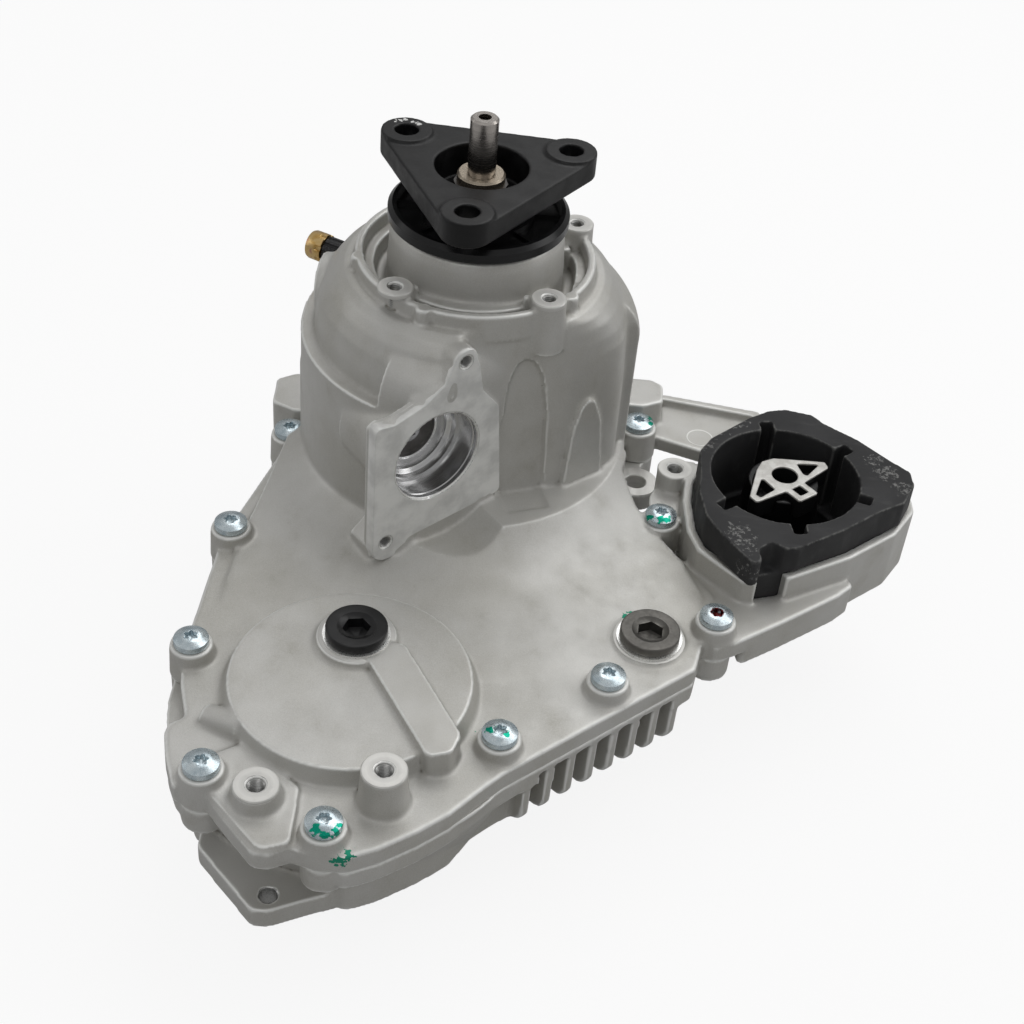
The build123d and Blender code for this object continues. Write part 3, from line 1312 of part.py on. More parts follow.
# Every node and its solid
NODES = {
    "rear_housing": rear_housing,
    "front_housing": front_housing,
    "perimeter_bolts": perimeter_bolts,
    "dowel_sleeves": dowel_sleeves,
    "fill_plug": lambda: plug(FILL_XY, FILL_SEAT_Z),
    "fill_plug_seal": lambda: plug_seal(FILL_XY, FILL_SEAT_Z),
    "drain_plug": lambda: plug(DRAIN_XY, DRAIN_SEAT_Z),
    "drain_plug_seal": lambda: plug_seal(DRAIN_XY, DRAIN_SEAT_Z),
    "breather_body": breather_body,
    "breather_cap": breather_cap,
    "mount_rubber": mount_rubber,
    "mount_core": mount_core,
    "rear_shaft_seal": lambda: seal((0, 0), REAR_BEARING_R, OUT_HUB_R, 232, 240),
    "input_seal": lambda: seal((0, 0), FRONT_BEARING_R - 3, INPUT_R, 6, 13.8),
    "front_output_seal": lambda: seal(FRONT_AXIS, LOWER_BEARING_R - 3, FRONT_HUB_R, 16.5, 21.5),
    "rear_bearing_outer_ring": lambda: outer_race(
        (0, 0), REAR_BEARING_R, REAR_BEARING_W, REAR_BEARING_Z, REAR_BALL, REAR_MID),
    "rear_bearing_inner_ring": lambda: inner_race(
        (0, 0), SHAFT_SEAT_R, REAR_BEARING_W, REAR_BEARING_Z, REAR_BALL, REAR_MID),
    "rear_bearing_balls": lambda: ball_set(
        (0, 0), REAR_MID, REAR_BALL, REAR_BEARING_Z + REAR_BEARING_W / 2, BALL_COUNT),
    "front_bearing_outer_ring": lambda: outer_race(
        (0, 0), FRONT_BEARING_R, FRONT_BEARING_W, FRONT_BEARING_Z, FRONT_BALL, FRONT_MID),
    "front_bearing_inner_ring": lambda: inner_race(
        (0, 0), INPUT_R, FRONT_BEARING_W, FRONT_BEARING_Z, FRONT_BALL, FRONT_MID),
    "front_bearing_balls": lambda: ball_set(
        (0, 0), FRONT_MID, FRONT_BALL, FRONT_BEARING_Z + FRONT_BEARING_W / 2, BALL_COUNT),
    "lower_bearing_outer_ring": lambda: outer_race(
        FRONT_AXIS, LOWER_BEARING_R, LOWER_BEARING_W, LOWER_BEARING_Z, LOWER_BALL, LOWER_MID),
    "lower_bearing_inner_ring": lambda: inner_race(
        FRONT_AXIS, FRONT_SEAT_R + 1, LOWER_BEARING_W, LOWER_BEARING_Z, LOWER_BALL, LOWER_MID),
    "lower_bearing_balls": lambda: ball_set(
        FRONT_AXIS, LOWER_MID, LOWER_BALL, LOWER_BEARING_Z + LOWER_BEARING_W / 2, BALL_COUNT),
    "upper_bearing_outer_ring": lambda: outer_race(
        FRONT_AXIS, UPPER_BEARING_R, UPPER_BEARING_W, UPPER_BEARING_Z, UPPER_BALL, UPPER_MID),
    "upper_bearing_inner_ring": lambda: inner_race(
        FRONT_AXIS, UPPER_BEARING_BORE, UPPER_BEARING_W, UPPER_BEARING_Z, UPPER_BALL, UPPER_MID),
    "main_shaft": main_shaft,
    "rear_output_flange": rear_output_flange,
    "flange_nut": flange_nut,
    "shaft_collar": shaft_collar,
    "centring_pin": centring_pin,
    "dust_shield": dust_shield,
    "clutch_hub": clutch_hub,
    "friction_plates": friction_plates,
    "clutch_drum": clutch_drum,
    "steel_plates": steel_plates,
    "pressure_plate": pressure_plate,
    "return_spring": return_spring,
    "thrust_bearing": thrust_bearing,
    "ramp_ring": ramp_ring,
    "ramp_balls": lambda: ball_set((0, 0), BALL_TRACK_R, BALL_R, RAMP_BALL_Z, 6),
    "control_ring": control_ring,
    "support_bearing": support_bearing,
    "support_ring": support_ring,
    "worm_shaft": worm_shaft,
    "worm_bushes": worm_bushes,
    "upper_sprocket": upper_sprocket,
    "needle_cage": needle_cage,
    "lower_sprocket": lower_sprocket,
    "chain": chain,
    "front_output_shaft": front_output_shaft,
    "front_output_flange": front_output_flange,
    "front_dust_ring": front_dust_ring,
    "front_nut": front_nut,
}

os.makedirs("parts", exist_ok=True)
for name, build in NODES.items():
    export_step(build(), f"parts/{name}.step")
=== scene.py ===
import bpy
import math
import numpy as np
from mathutils import Matrix, Vector


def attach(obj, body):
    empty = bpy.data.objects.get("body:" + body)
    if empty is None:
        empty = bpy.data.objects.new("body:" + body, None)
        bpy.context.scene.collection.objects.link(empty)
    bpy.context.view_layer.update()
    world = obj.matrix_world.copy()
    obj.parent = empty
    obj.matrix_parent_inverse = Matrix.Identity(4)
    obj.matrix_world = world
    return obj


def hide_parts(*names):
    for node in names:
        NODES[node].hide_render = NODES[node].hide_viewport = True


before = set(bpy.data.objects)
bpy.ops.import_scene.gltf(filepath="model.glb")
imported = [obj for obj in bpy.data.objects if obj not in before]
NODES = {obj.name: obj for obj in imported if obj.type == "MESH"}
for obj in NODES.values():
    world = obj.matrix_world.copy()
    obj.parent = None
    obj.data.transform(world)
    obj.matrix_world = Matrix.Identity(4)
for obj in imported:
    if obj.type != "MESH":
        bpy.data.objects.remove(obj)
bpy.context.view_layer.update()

MM = 0.001

# Driving places of the part in millimetres, directions in radians
BOSS_TOP = 96.7
BOLTS = [
    (-95.6, -3.3), (-112.8, -86.0), (-115.5, -172.3), (-95.4, -248.3), (-37.3, -274.4),
    (34.5, -214.0), (83.5, -170.7), (136.7, -121.8), (109.5, -47.3), (97.3, 33.0),
]
BOLTS += [(99.5 * math.cos(a), 99.5 * math.sin(a)) for a in map(math.radians, (60, 100, 142))]
FRONT_AXIS = (-37.495, -186.777)
SERVO_DIR = math.radians(-49.0)
SERVO_T = -61.5
SERVO_Z = 153.0
SERVO_FACE = 57.5
SERVO_BORE_R = 24.7
SERVO_HOLES = [(-47.2, 204.2), (-91.3, 110.5)]
NECK_BOSSES = [(58.4 * math.cos(math.radians(a)), 58.4 * math.sin(math.radians(a)))
               for a in (-128.0, -48.5, 31.0, 110.0)]
FILL_XY = (-37.9, -162.9)
DRAIN_XY = (103.9, -133.8)
MOUNT_XY = (173.4, -30.0)
CORE_TOP = 116.0
NECK_BOSS_TOP = 225.4
CONE_BOSS = (-69.3, -258.4)
TALL_BOSS = (-14.2, -251.5)
WEB_BOSS = (116.9, -11.0)
EAR_XY = (98.1, 5.7)
LUG_XY = (-61.6, -278.3)
FILL_SEAT = 103.0
DRAIN_SEAT = 91.0
BREATHER_DIR = math.radians(154.0)
RIDGE_DIR = math.radians(172.0)
BOLT_TURN = (17.0, 41.0)    # first bolt's turn and the step to the next, degrees


# Frames in millimetres
def upright(x, y, z=0.0, turn=0.0):
    """Frame standing at a point, turned about Z in degrees."""
    return Matrix.Translation((x, y, z)) @ Matrix.Rotation(math.radians(turn), 4, "Z")


def level(angle):
    """Level direction at an angle."""
    return Vector((math.cos(angle), math.sin(angle), 0))


def wall_frame(out):
    """Turn of a vertical wall that faces a level direction: x sideways, y up, z outwards."""
    return Matrix((Vector((-out.y, out.x, 0)), Vector((0, 0, 1)), out)).transposed().to_4x4()


SERVO_N = level(SERVO_DIR)
SERVO_S = Vector((-SERVO_N.y, SERVO_N.x, 0))


def servo_frame(sideways, height, out):
    """Frame on the motor flange: x sideways, y up, z outwards."""
    return Matrix.Translation(
        SERVO_S * sideways + Vector((0, 0, height)) + SERVO_N * out) @ wall_frame(SERVO_N)


def servo_plan(points):
    """Outline in plan from pairs of sideways and outward places on the motor flange."""
    return [tuple((SERVO_S * t + SERVO_N * out).xy) for t, out in points]


def facing(direction, point):
    """Frame at a point with z along a direction."""
    turn = Vector(direction).to_track_quat("Z", "Y").to_matrix().to_4x4()
    return Matrix.Translation(point) @ turn


# Making pieces
def add_object(name, mesh, material, body, place=None, smooth=35.0):
    """Links a mesh as a piece that rides on a body; the place is a frame in millimetres."""
    obj = bpy.data.objects.new(name, mesh)
    bpy.context.scene.collection.objects.link(obj)
    if place is not None:
        move = place.copy()
        move.translation = move.translation * MM
        obj.matrix_world = move
    mesh.materials.clear()
    for item in material if isinstance(material, list) else [material]:
        mesh.materials.append(item)
    mesh.shade_smooth()
    if smooth:
        mesh.set_sharp_from_angle(angle=math.radians(smooth))
    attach(obj, body)
    return obj


def mesh_of(name, verts, faces):
    """Mesh from points in millimetres."""
    mesh = bpy.data.meshes.new(name)
    mesh.from_pydata([(x * MM, y * MM, z * MM) for x, y, z in verts], [], faces)
    mesh.validate()
    mesh.update()
    return mesh


def lathe_data(rings, steps, closed=False):
    """Points and faces of rings; a ring is a height and a radius or a function of the angle."""
    verts = []
    faces = []
    rows = []
    for radius, height in rings:
        if radius == 0:
            rows.append([len(verts)] * steps)
            verts.append((0.0, 0.0, height))
            continue
        row = []
        for i in range(steps):
            angle = 2 * math.pi * i / steps
            r = radius(angle) if callable(radius) else radius
            row.append(len(verts))
            verts.append((r * math.cos(angle), r * math.sin(angle), height))
        rows.append(row)
    pairs = list(zip(rows, rows[1:]))
    if closed:
        pairs.append((rows[-1], rows[0]))
    for low, high in pairs:
        for i in range(steps):
            j = (i + 1) % steps
            corners = []
            for v in (low[i], low[j], high[j], high[i]):
                if v not in corners:
                    corners.append(v)
            if len(corners) > 2:
                faces.append(corners)
    return verts, faces


def lathe(name, rings, place, material, body="housing", steps=72, closed=False, smooth=35.0):
    """Turned piece about the frame's z."""
    verts, faces = lathe_data(rings, steps, closed)
    return add_object(name, mesh_of(name, verts, faces), material, body, place, smooth)


def rounded(points, radius, steps=5):
    """Outline whose corners are arcs."""
    out = []
    count = len(points)
    for i, corner in enumerate(points):
        p = Vector(corner)
        back = Vector(points[i - 1]) - p
        ahead = Vector(points[(i + 1) % count]) - p
        half = back.angle(ahead) / 2
        cut = min(radius / math.tan(half), 0.45 * min(back.length, ahead.length))
        if cut < 0.05:
            out.append(tuple(p))
            continue
        start = p + back.normalized() * cut
        end = p + ahead.normalized() * cut
        for k in range(steps + 1):
            t = k / steps
            out.append(tuple(start * (1 - t) ** 2 + p * 2 * t * (1 - t) + end * t * t))
    return out


def circle(x, y, radius, steps=64):
    """Outline of a circle."""
    turns = [2 * math.pi * i / steps for i in range(steps)]
    return [(x + radius * math.cos(turn), y + radius * math.sin(turn)) for turn in turns]


def plate_mesh(name, loops, low, high, bevel):
    """Flat plate with holes and broken edges, along z."""
    curve = bpy.data.curves.new(name, "CURVE")
    curve.dimensions = "2D"
    curve.fill_mode = "BOTH"
    for loop in loops:
        spline = curve.splines.new("POLY")
        spline.points.add(len(loop) - 1)
        spline.points.foreach_set("co", [c for x, y in loop for c in (x * MM, y * MM, 0, 1)])
        spline.use_cyclic_u = True
    curve.extrude = ((high - low) / 2 - bevel) * MM
    curve.bevel_depth = bevel * MM
    curve.bevel_resolution = 2
    curve.offset = -bevel * MM
    holder = bpy.data.objects.new(name, curve)
    mesh = bpy.data.meshes.new_from_object(holder)
    bpy.data.objects.remove(holder)
    bpy.data.curves.remove(curve)
    mesh.transform(Matrix.Translation((0, 0, (low + high) / 2 * MM)))
    return mesh


def prism_mesh(name, loop, low, high):
    """Closed solid over an outline."""
    count = len(loop)
    verts = [(x, y, low) for x, y in loop] + [(x, y, high) for x, y in loop]
    faces = [list(range(count - 1, -1, -1)), list(range(count, 2 * count))]
    faces += [[i, (i + 1) % count, count + (i + 1) % count, count + i] for i in range(count)]
    return mesh_of(name, verts, faces)


# Cast shapes: the frame's solid, rounded as a casting is
def scratch(mesh, place=None):
    """Object that only exists while a shape is made."""
    obj = bpy.data.objects.new("scratch", mesh)
    bpy.context.scene.collection.objects.link(obj)
    if place is not None:
        move = place.copy()
        move.translation = move.translation * MM
        mesh.transform(move)
    return obj


def baked(obj):
    """Mesh of an object with its modifiers applied."""
    bpy.context.view_layer.update()
    depsgraph = bpy.context.evaluated_depsgraph_get()
    return bpy.data.meshes.new_from_object(obj.evaluated_get(depsgraph))


def inside_loop(points, loop):
    """Which points lie within an outline in plan."""
    inside = np.zeros(len(points), bool)
    for (x0, y0), (x1, y1) in zip(loop, loop[1:] + loop[:1]):
        crosses = (points[:, 1] < y0) != (points[:, 1] < y1)
        at = x0 + (points[:, 1] - y0) / ((y1 - y0) or 1e-9) * (x1 - x0)
        inside ^= crosses & (points[:, 0] < at)
    return inside


def carved(mesh, cuts):
    """Form with other closed forms taken away."""
    obj = scratch(mesh)
    tools = []
    for tool_mesh, place in cuts:
        tool = scratch(tool_mesh.copy(), place)
        tool.hide_render = True
        knife = obj.modifiers.new("cut", "BOOLEAN")
        knife.operation = "DIFFERENCE"
        knife.solver = "EXACT"
        knife.object = tool
        tools.append(tool)
    result = baked(obj)
    for item in [obj] + tools:
        bpy.data.objects.remove(item)
    return result


def soften(mesh, steps, fillet_steps, held=None):
    """Relaxes every edge a little, then only fills inner corners, as a casting's fillets do."""
    count = len(mesh.vertices)
    co = np.empty(count * 3)
    mesh.vertices.foreach_get("co", co)
    co = co.reshape(-1, 3)
    edges = np.empty(len(mesh.edges) * 2, np.int64)
    mesh.edges.foreach_get("vertices", edges)
    edges = edges.reshape(-1, 2)
    degree = np.maximum(np.bincount(edges.ravel(), minlength=count), 1)[:, None]
    free = np.ones((count, 1)) if held is None else 1.0 - held(co / MM)[:, None]
    normal = np.empty(count * 3)
    for step in range(steps + fillet_steps):
        near = np.stack([
            np.bincount(edges[:, 0], co[edges[:, 1], k], count)
            + np.bincount(edges[:, 1], co[edges[:, 0], k], count) for k in range(3)
        ], 1)
        move = (near / degree - co) * free
        if step >= steps:
            mesh.vertices.foreach_set("co", co.ravel())
            mesh.update()
            mesh.vertex_normals.foreach_get("vector", normal)
            outward = (move * normal.reshape(-1, 3)).sum(1)[:, None]
            move = np.where(outward > 0, move, 0.0)
        co = co + 0.5 * move
    mesh.vertices.foreach_set("co", co.ravel())
    mesh.update()


def cast_copy(name, node, voxel, steps, fillet_steps, material, body, add=(), cut=(), held=None):
    """Rounded copy of a node's solid, with small extra forms, that stands for the node."""
    obj = scratch(NODES[node].data.copy())
    weld = obj.modifiers.new("weld", "WELD")
    weld.merge_threshold = 0.00001
    base = baked(obj)
    bpy.data.objects.remove(obj)
    if cut:
        base = carved(base, cut)
    parts = [scratch(base)] + [scratch(mesh, place) for mesh, place in add]
    with bpy.context.temp_override(active_object=parts[0], selected_editable_objects=parts,
                                   object=parts[0]):
        if len(parts) > 1:
            bpy.ops.object.join()
    whole = parts[0]
    remesh = whole.modifiers.new("remesh", "REMESH")
    remesh.mode = "VOXEL"
    remesh.voxel_size = voxel * MM * 1.0
    mesh = baked(whole)
    bpy.data.objects.remove(whole)
    soften(mesh, steps, fillet_steps, held)
    mesh.name = name
    obj = add_object(name, mesh, material, body, smooth=None)
    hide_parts(node)


# Materials
class Finish:
    """Node material built up from noises, ramps and mixes over the piece's own coordinates."""

    def __init__(self, name, metallic, roughness, **sockets):
        self.material = bpy.data.materials.new(name)
        self.material.use_nodes = True
        self.tree = self.material.node_tree
        self.tree.nodes.clear()
        output = self.tree.nodes.new("ShaderNodeOutputMaterial")
        self.shader = self.tree.nodes.new("ShaderNodeBsdfPrincipled")
        self.shader.inputs["Metallic"].default_value = metallic
        self.shader.inputs["Roughness"].default_value = roughness
        for key, value in sockets.items():
            self.shader.inputs[key.replace("_", " ")].default_value = value
        self.link(self.shader.outputs[0], output.inputs[0])
        self.place = self.tree.nodes.new("ShaderNodeTexCoord").outputs["Object"]

    def link(self, source, target):
        self.tree.links.new(source, target)

    def put(self, node, slot, value):
        """Sets a socket to a number or colour, or links it."""
        if hasattr(value, "links"):
            self.link(value, node.inputs[slot])
        else:
            node.inputs[slot].default_value = value

    def noise(self, scale, detail=3.0, rough=0.5, vector=None, stretch=None):
        node = self.tree.nodes.new("ShaderNodeTexNoise")
        node.inputs["Scale"].default_value = scale
        node.inputs["Detail"].default_value = detail
        node.inputs["Roughness"].default_value = rough
        vector = vector or self.place
        if stretch:
            vector = self.vector("MULTIPLY", vector, stretch)
        self.link(vector, node.inputs["Vector"])
        return node.outputs["Fac"]

    def cells(self, scale):
        node = self.tree.nodes.new("ShaderNodeTexVoronoi")
        node.inputs["Scale"].default_value = scale
        self.link(self.place, node.inputs["Vector"])
        return node.outputs["Distance"]

    def vector(self, operation, a, b=None):
        node = self.tree.nodes.new("ShaderNodeVectorMath")
        node.operation = operation
        self.put(node, 0, a)
        if b is not None:
            self.put(node, 1, b)
        return node.outputs["Value" if operation in ("LENGTH", "DISTANCE") else "Vector"]

    def math(self, operation, a, b=0.0):
        node = self.tree.nodes.new("ShaderNodeMath")
        node.operation = operation
        self.put(node, 0, a)
        self.put(node, 1, b)
        return node.outputs[0]

    def span(self, value, low, high, to_low=0.0, to_high=1.0):
        """Maps a value from one range onto another, without going past its ends."""
        node = self.tree.nodes.new("ShaderNodeMapRange")
        node.interpolation_type = "SMOOTHSTEP"
        for slot, number in enumerate((value, low, high, to_low, to_high)):
            self.put(node, slot, number)
        return node.outputs[0]

    def mix(self, share, a, b):
        """Colour mix."""
        node = self.tree.nodes.new("ShaderNodeMix")
        node.data_type = "RGBA"
        self.put(node, 0, share)
        self.put(node, 6, a)
        self.put(node, 7, b)
        return node.outputs[2]

    def edges(self, low, high):
        """How far a point is on an outer edge."""
        node = self.tree.nodes.new("ShaderNodeNewGeometry")
        return self.span(node.outputs["Pointiness"], low, high)

    def near(self, points, radius, ragged=0.5):
        """Ragged spots about some points, in millimetres."""
        total = None
        sway = ragged * radius * MM
        wobble = self.span(self.noise(420.0, 3.0), 0.25, 0.75, -sway, sway)
        for point in points:
            reach = self.vector("DISTANCE", self.place, tuple(c * MM for c in point))
            total = reach if total is None else self.math("MINIMUM", total, reach)
        return self.span(self.math("ADD", total, wobble), radius * MM * 1.12, radius * MM * 0.92)

    def height(self, low, high):
        """How far a point is above a level, in millimetres."""
        parts = self.tree.nodes.new("ShaderNodeSeparateXYZ")
        self.link(self.place, parts.inputs[0])
        return self.span(parts.outputs[2], low * MM, high * MM)

    def within(self, x, y, radius, blur):
        """How far a point is inside an upright cylinder, in millimetres."""
        flat = self.vector("MULTIPLY", self.place, (1, 1, 0))
        reach = self.vector("DISTANCE", flat, (x * MM, y * MM, 0))
        return self.span(reach, (radius + blur) * MM, (radius - blur) * MM)

    def colour(self, value):
        self.put(self.shader, "Base Color", value)

    def roughness(self, value):
        self.put(self.shader, "Roughness", value)

    def bump(self, *layers):
        """Layers of height: value, depth in millimetres and strength."""
        last = None
        for height, depth, strength in layers:
            node = self.tree.nodes.new("ShaderNodeBump")
            node.inputs["Distance"].default_value = depth * MM
            node.inputs["Strength"].default_value = strength
            self.link(height, node.inputs["Height"])
            if last is not None:
                self.link(last, node.inputs["Normal"])
            last = node.outputs[0]
        self.link(last, self.shader.inputs["Normal"])


def rgb(red, green, blue):
    """Colour from the 0 to 255 values that it shows as."""
    def linear(c):
        c /= 255.0
        return c / 12.92 if c <= 0.04045 else ((c + 0.055) / 1.055) ** 2.4
    return (linear(red), linear(green), linear(blue), 1.0)


def cast_metal(name, marks=()):
    """Blasted aluminium casting: faint stains, grain, painted highlights on outer edges and painted
    shade in creases.
    """
    f = Finish(name, 0.6, 0.5)
    cloud = f.noise(14.0, 4.0, 0.6)
    stain = f.noise(55.0, 5.0, 0.65)
    grain = f.noise(2600.0, 2.0, 0.6)
    pits = f.cells(1400.0)
    base = f.mix(f.span(cloud, 0.35, 0.7), rgb(190, 189, 185), rgb(176, 174, 167))
    base = f.mix(f.span(stain, 0.55, 0.8, 0.0, 0.5), base, rgb(160, 156, 146))
    base = f.mix(f.span(grain, 0.3, 0.7, 0.0, 0.3), base, rgb(222, 222, 220))
    # Painted highlight: outer edges are coloured lighter
    base = f.mix(f.edges(0.508, 0.535), base, rgb(226, 226, 223))
    # Painted shade: creases and inner corners are coloured darker
    base = f.mix(f.edges(0.49, 0.45), base, rgb(128, 125, 118))
    if marks:
        base = f.mix(f.near(marks, 2.6, 0.9), base, rgb(30, 140, 112))
    f.colour(base)
    f.roughness(f.span(stain, 0.3, 0.75, 0.46, 0.6))
    f.bump((grain, 0.14, 0.35), (pits, 0.1, 0.12), (f.noise(700.0, 4.0, 0.6), 0.2, 0.3),
           (f.noise(160.0, 4.0), 0.35, 0.2))
    return f.material


def turned_metal(name, colour, roughness=0.24, metallic=0.95, ring=2600.0):
    """Machined metal with fine rings about the piece's own axis."""
    f = Finish(name, metallic, roughness)
    parts = f.tree.nodes.new("ShaderNodeSeparateXYZ")
    f.link(f.place, parts.inputs[0])
    flat = f.vector("MULTIPLY", f.place, (1, 1, 0))
    lie = f.tree.nodes.new("ShaderNodeCombineXYZ")
    f.link(f.vector("LENGTH", flat), lie.inputs[0])
    f.link(parts.outputs[2], lie.inputs[1])
    rings = f.noise(ring, 3.0, 0.7, lie.outputs[0])
    broad = f.noise(ring / 9, 2.0, 0.5, lie.outputs[0])
    haze = f.noise(220.0, 4.0)
    dark = tuple(c * 0.72 for c in colour[:3]) + (1.0,)
    shade = f.mix(f.span(broad, 0.3, 0.7, 0.0, 0.6), colour, dark)
    f.colour(f.mix(f.span(haze, 0.45, 0.8, 0.0, 0.4), shade, dark))
    f.roughness(f.span(rings, 0.25, 0.75, roughness * 0.75, roughness * 1.35))
    f.bump((rings, 0.05, 0.3), (broad, 0.08, 0.15))
    return f.material


def plain_metal(name, colour, roughness, metallic=0.9, grain=900.0, depth=0.03, worn=True):
    """Metal with slight cloudiness, fine grain and worn edges."""
    f = Finish(name, metallic, roughness)
    cloud = f.noise(60.0, 4.0, 0.6)
    fine = f.noise(grain, 3.0, 0.6)
    dark = tuple(c * 0.75 for c in colour[:3]) + (1.0,)
    light = tuple(min(1.0, c * 1.35 + 0.01) for c in colour[:3]) + (1.0,)
    shade = f.mix(f.span(cloud, 0.35, 0.7), colour, dark)
    f.colour(f.mix(f.edges(0.52, 0.58), shade, light) if worn else shade)
    f.roughness(f.span(fine, 0.3, 0.7, roughness * 0.8, min(1.0, roughness * 1.3)))
    f.bump((fine, depth, 0.4), (cloud, 0.1, 0.1))
    return f.material


def zinc(name, mark=None, socket=None):
    """Zinc plating, blue-white, with an optional paint mark or a painted socket."""
    f = Finish(name, 0.9, 0.28)
    cloud = f.noise(180.0, 4.0, 0.6)
    fine = f.noise(1500.0, 3.0)
    base = f.mix(f.span(cloud, 0.3, 0.72), rgb(214, 224, 228), rgb(176, 190, 197))
    base = f.mix(f.span(fine, 0.58, 0.78, 0.0, 0.5), base, rgb(150, 164, 170))
    if mark:
        points, radius = mark
        base = f.mix(f.near(points, radius, 0.7), base, rgb(15, 155, 128))
    if socket:
        point, radius, colour = socket
        base = f.mix(f.near([point], radius, 0.15), base, colour)
    f.colour(base)
    f.roughness(f.span(fine, 0.3, 0.75, 0.2, 0.4))
    f.bump((fine, 0.05, 0.25), (cloud, 0.15, 0.2))
    return f.material


def rubber(name):
    """Moulded black rubber with pale dusty scuffs on its rims."""
    f = Finish(name, 0.0, 0.6, Specular_IOR_Level=0.35)
    dust = f.noise(130.0, 6.0, 0.7)
    fine = f.noise(1300.0, 4.0, 0.7)
    base = f.mix(f.span(f.noise(28.0, 4.0), 0.35, 0.7), rgb(46, 46, 47), rgb(33, 33, 34))
    spots = [(141, 6, 120), (149, 14, 120), (131, -8, 118), (150, -88, 120), (153, -97, 112),
             (146, -80, 120), (228, -20, 120), (222, -10, 120), (236, -32, 118)]
    chalk = f.near(spots, 4.6, 0.9)
    speck = f.span(f.noise(520.0, 5.0, 0.75), 0.47, 0.62)
    wipe = f.span(f.noise(60.0, 3.0, 0.6, stretch=(1.0, 3.0, 1.0)), 0.52, 0.75, 0.0, 0.4)
    base = f.mix(wipe, base, rgb(66, 66, 66))
    base = f.mix(f.math("MULTIPLY", chalk, speck), base, rgb(122, 122, 120))
    rims = f.math("MULTIPLY", f.edges(0.51, 0.55), f.span(dust, 0.36, 0.6))
    base = f.mix(rims, base, rgb(104, 104, 102))
    hollow = f.math("MULTIPLY", f.within(*MOUNT_XY, 36.4, 0.7), f.height(118.5, 115.0))
    base = f.mix(hollow, base, rgb(7, 7, 8))
    f.colour(base)
    f.roughness(f.span(hollow, 0.0, 1.0, 0.62, 0.3))
    f.bump((fine, 0.12, 0.35), (dust, 0.4, 0.25))
    return f.material


def core_metal(name, top):
    """Die casting that is bare on its top and rubber-coated below."""
    f = Finish(name, 0.5, 0.42)
    cloud = f.noise(120.0, 4.0, 0.6)
    fine = f.noise(1400.0, 3.0, 0.6)
    bare = f.mix(f.span(cloud, 0.35, 0.7), rgb(208, 207, 203), rgb(180, 178, 173))
    bare = f.mix(f.span(fine, 0.55, 0.75, 0.0, 0.4), bare, rgb(140, 138, 134))
    skin = f.height(top - 0.7, top - 1.2)
    f.colour(f.mix(skin, bare, rgb(12, 12, 13)))
    f.put(f.shader, "Metallic", f.span(skin, 0.0, 1.0, 0.5, 0.0))
    f.bump((fine, 0.06, 0.4), (cloud, 0.2, 0.3))
    return f.material


def black_paint(name, gloss, depth=0.08, marks=(), tone=17, worn=True):
    """Black coat over metal, a little uneven, rubbed at its edges."""
    f = Finish(name, 0.0, gloss, Specular_IOR_Level=0.34)
    cloud = f.noise(90.0, 5.0, 0.6)
    fine = f.noise(1000.0, 3.0, 0.6)
    pale = tone + 8
    base = f.mix(f.span(cloud, 0.4, 0.7), rgb(tone, tone, tone + 1), rgb(pale, pale, pale + 1))
    if worn:
        rubbed = f.math("MULTIPLY", f.edges(0.53, 0.6), f.span(fine, 0.4, 0.65))
        base = f.mix(rubbed, base, rgb(64, 64, 65))
    if marks:
        base = f.mix(f.near(marks, 1.1, 1.0), base, rgb(210, 210, 208))
    f.colour(base)
    f.roughness(f.span(cloud, 0.3, 0.7, gloss * 0.8, gloss * 1.25))
    f.bump((fine, depth, 0.35), (cloud, 0.3, 0.2))
    return f.material


def yellow_plate(name):
    """Yellow passivated steel with a rainbow tint."""
    f = Finish(name, 0.9, 0.28)
    tint = f.noise(170.0, 3.0, 0.6)
    base = f.mix(f.span(tint, 0.35, 0.55), rgb(196, 158, 92), rgb(214, 184, 128))
    base = f.mix(f.span(tint, 0.55, 0.72), base, rgb(176, 128, 110))
    f.colour(base)
    f.bump((f.noise(900.0, 3.0), 0.05, 0.3))
    return f.material


def friction(name):
    """Paper friction lining on a steel core."""
    f = Finish(name, 0.0, 0.8)
    fibre = f.noise(900.0, 5.0, 0.7)
    f.colour(f.mix(fibre, rgb(92, 68, 44), rgb(128, 98, 66)))
    f.bump((fibre, 0.1, 0.5))
    return f.material


CAST = cast_metal("cast_aluminium", [
    (-26.0, -282.5, 88), (-29.5, -284.5, 86), (93.5, -119.0, 91.5), (-32.0, -145.5, 103.0),
    (26.5, -206.0, 92.0),
])
MILLED = turned_metal("milled_aluminium", rgb(212, 211, 207), 0.4, 0.45)
FACE = plain_metal("milled_flange_face", rgb(224, 224, 221), 0.42, 0.2, 1900.0, 0.02, worn=False)
BRIGHT = turned_metal("bright_bore", rgb(222, 222, 222), 0.2, 0.97, 3200.0)
THREAD = plain_metal("tapped_thread", rgb(168, 168, 166), 0.32)
STEEL = plain_metal("steel", rgb(150, 150, 152), 0.3)
DARK_STEEL = plain_metal("blackened_steel", rgb(82, 80, 78), 0.4, 0.85)
GROUND = turned_metal("ground_pin_steel", rgb(196, 190, 184), 0.22, 1.0, 5200.0)
BRONZE = plain_metal("tinted_collar", rgb(148, 138, 124), 0.3)
BEARING = plain_metal("bearing_steel", rgb(196, 198, 200), 0.16, 1.0)
BLACK_COAT = black_paint("black_coat", 0.45)
FLANGE_COAT = black_paint("flange_coat", 0.42, 0.06, [
    (-46, 35, 271), (-44, 36, 271), (-42, 36.5, 271), (-38, 35, 271), (-36, 34.4, 271),
    (-34, 33.6, 271)], 8)
BLACK_GLOSS = black_paint("black_gloss", 0.22, 0.004, tone=12, worn=False)
PLUG_BLACK = black_paint("plug_black", 0.34, 0.01)
PLUG_STEEL = plain_metal("plug_steel", rgb(104, 102, 98), 0.4, 0.85, 900.0, 0.01)
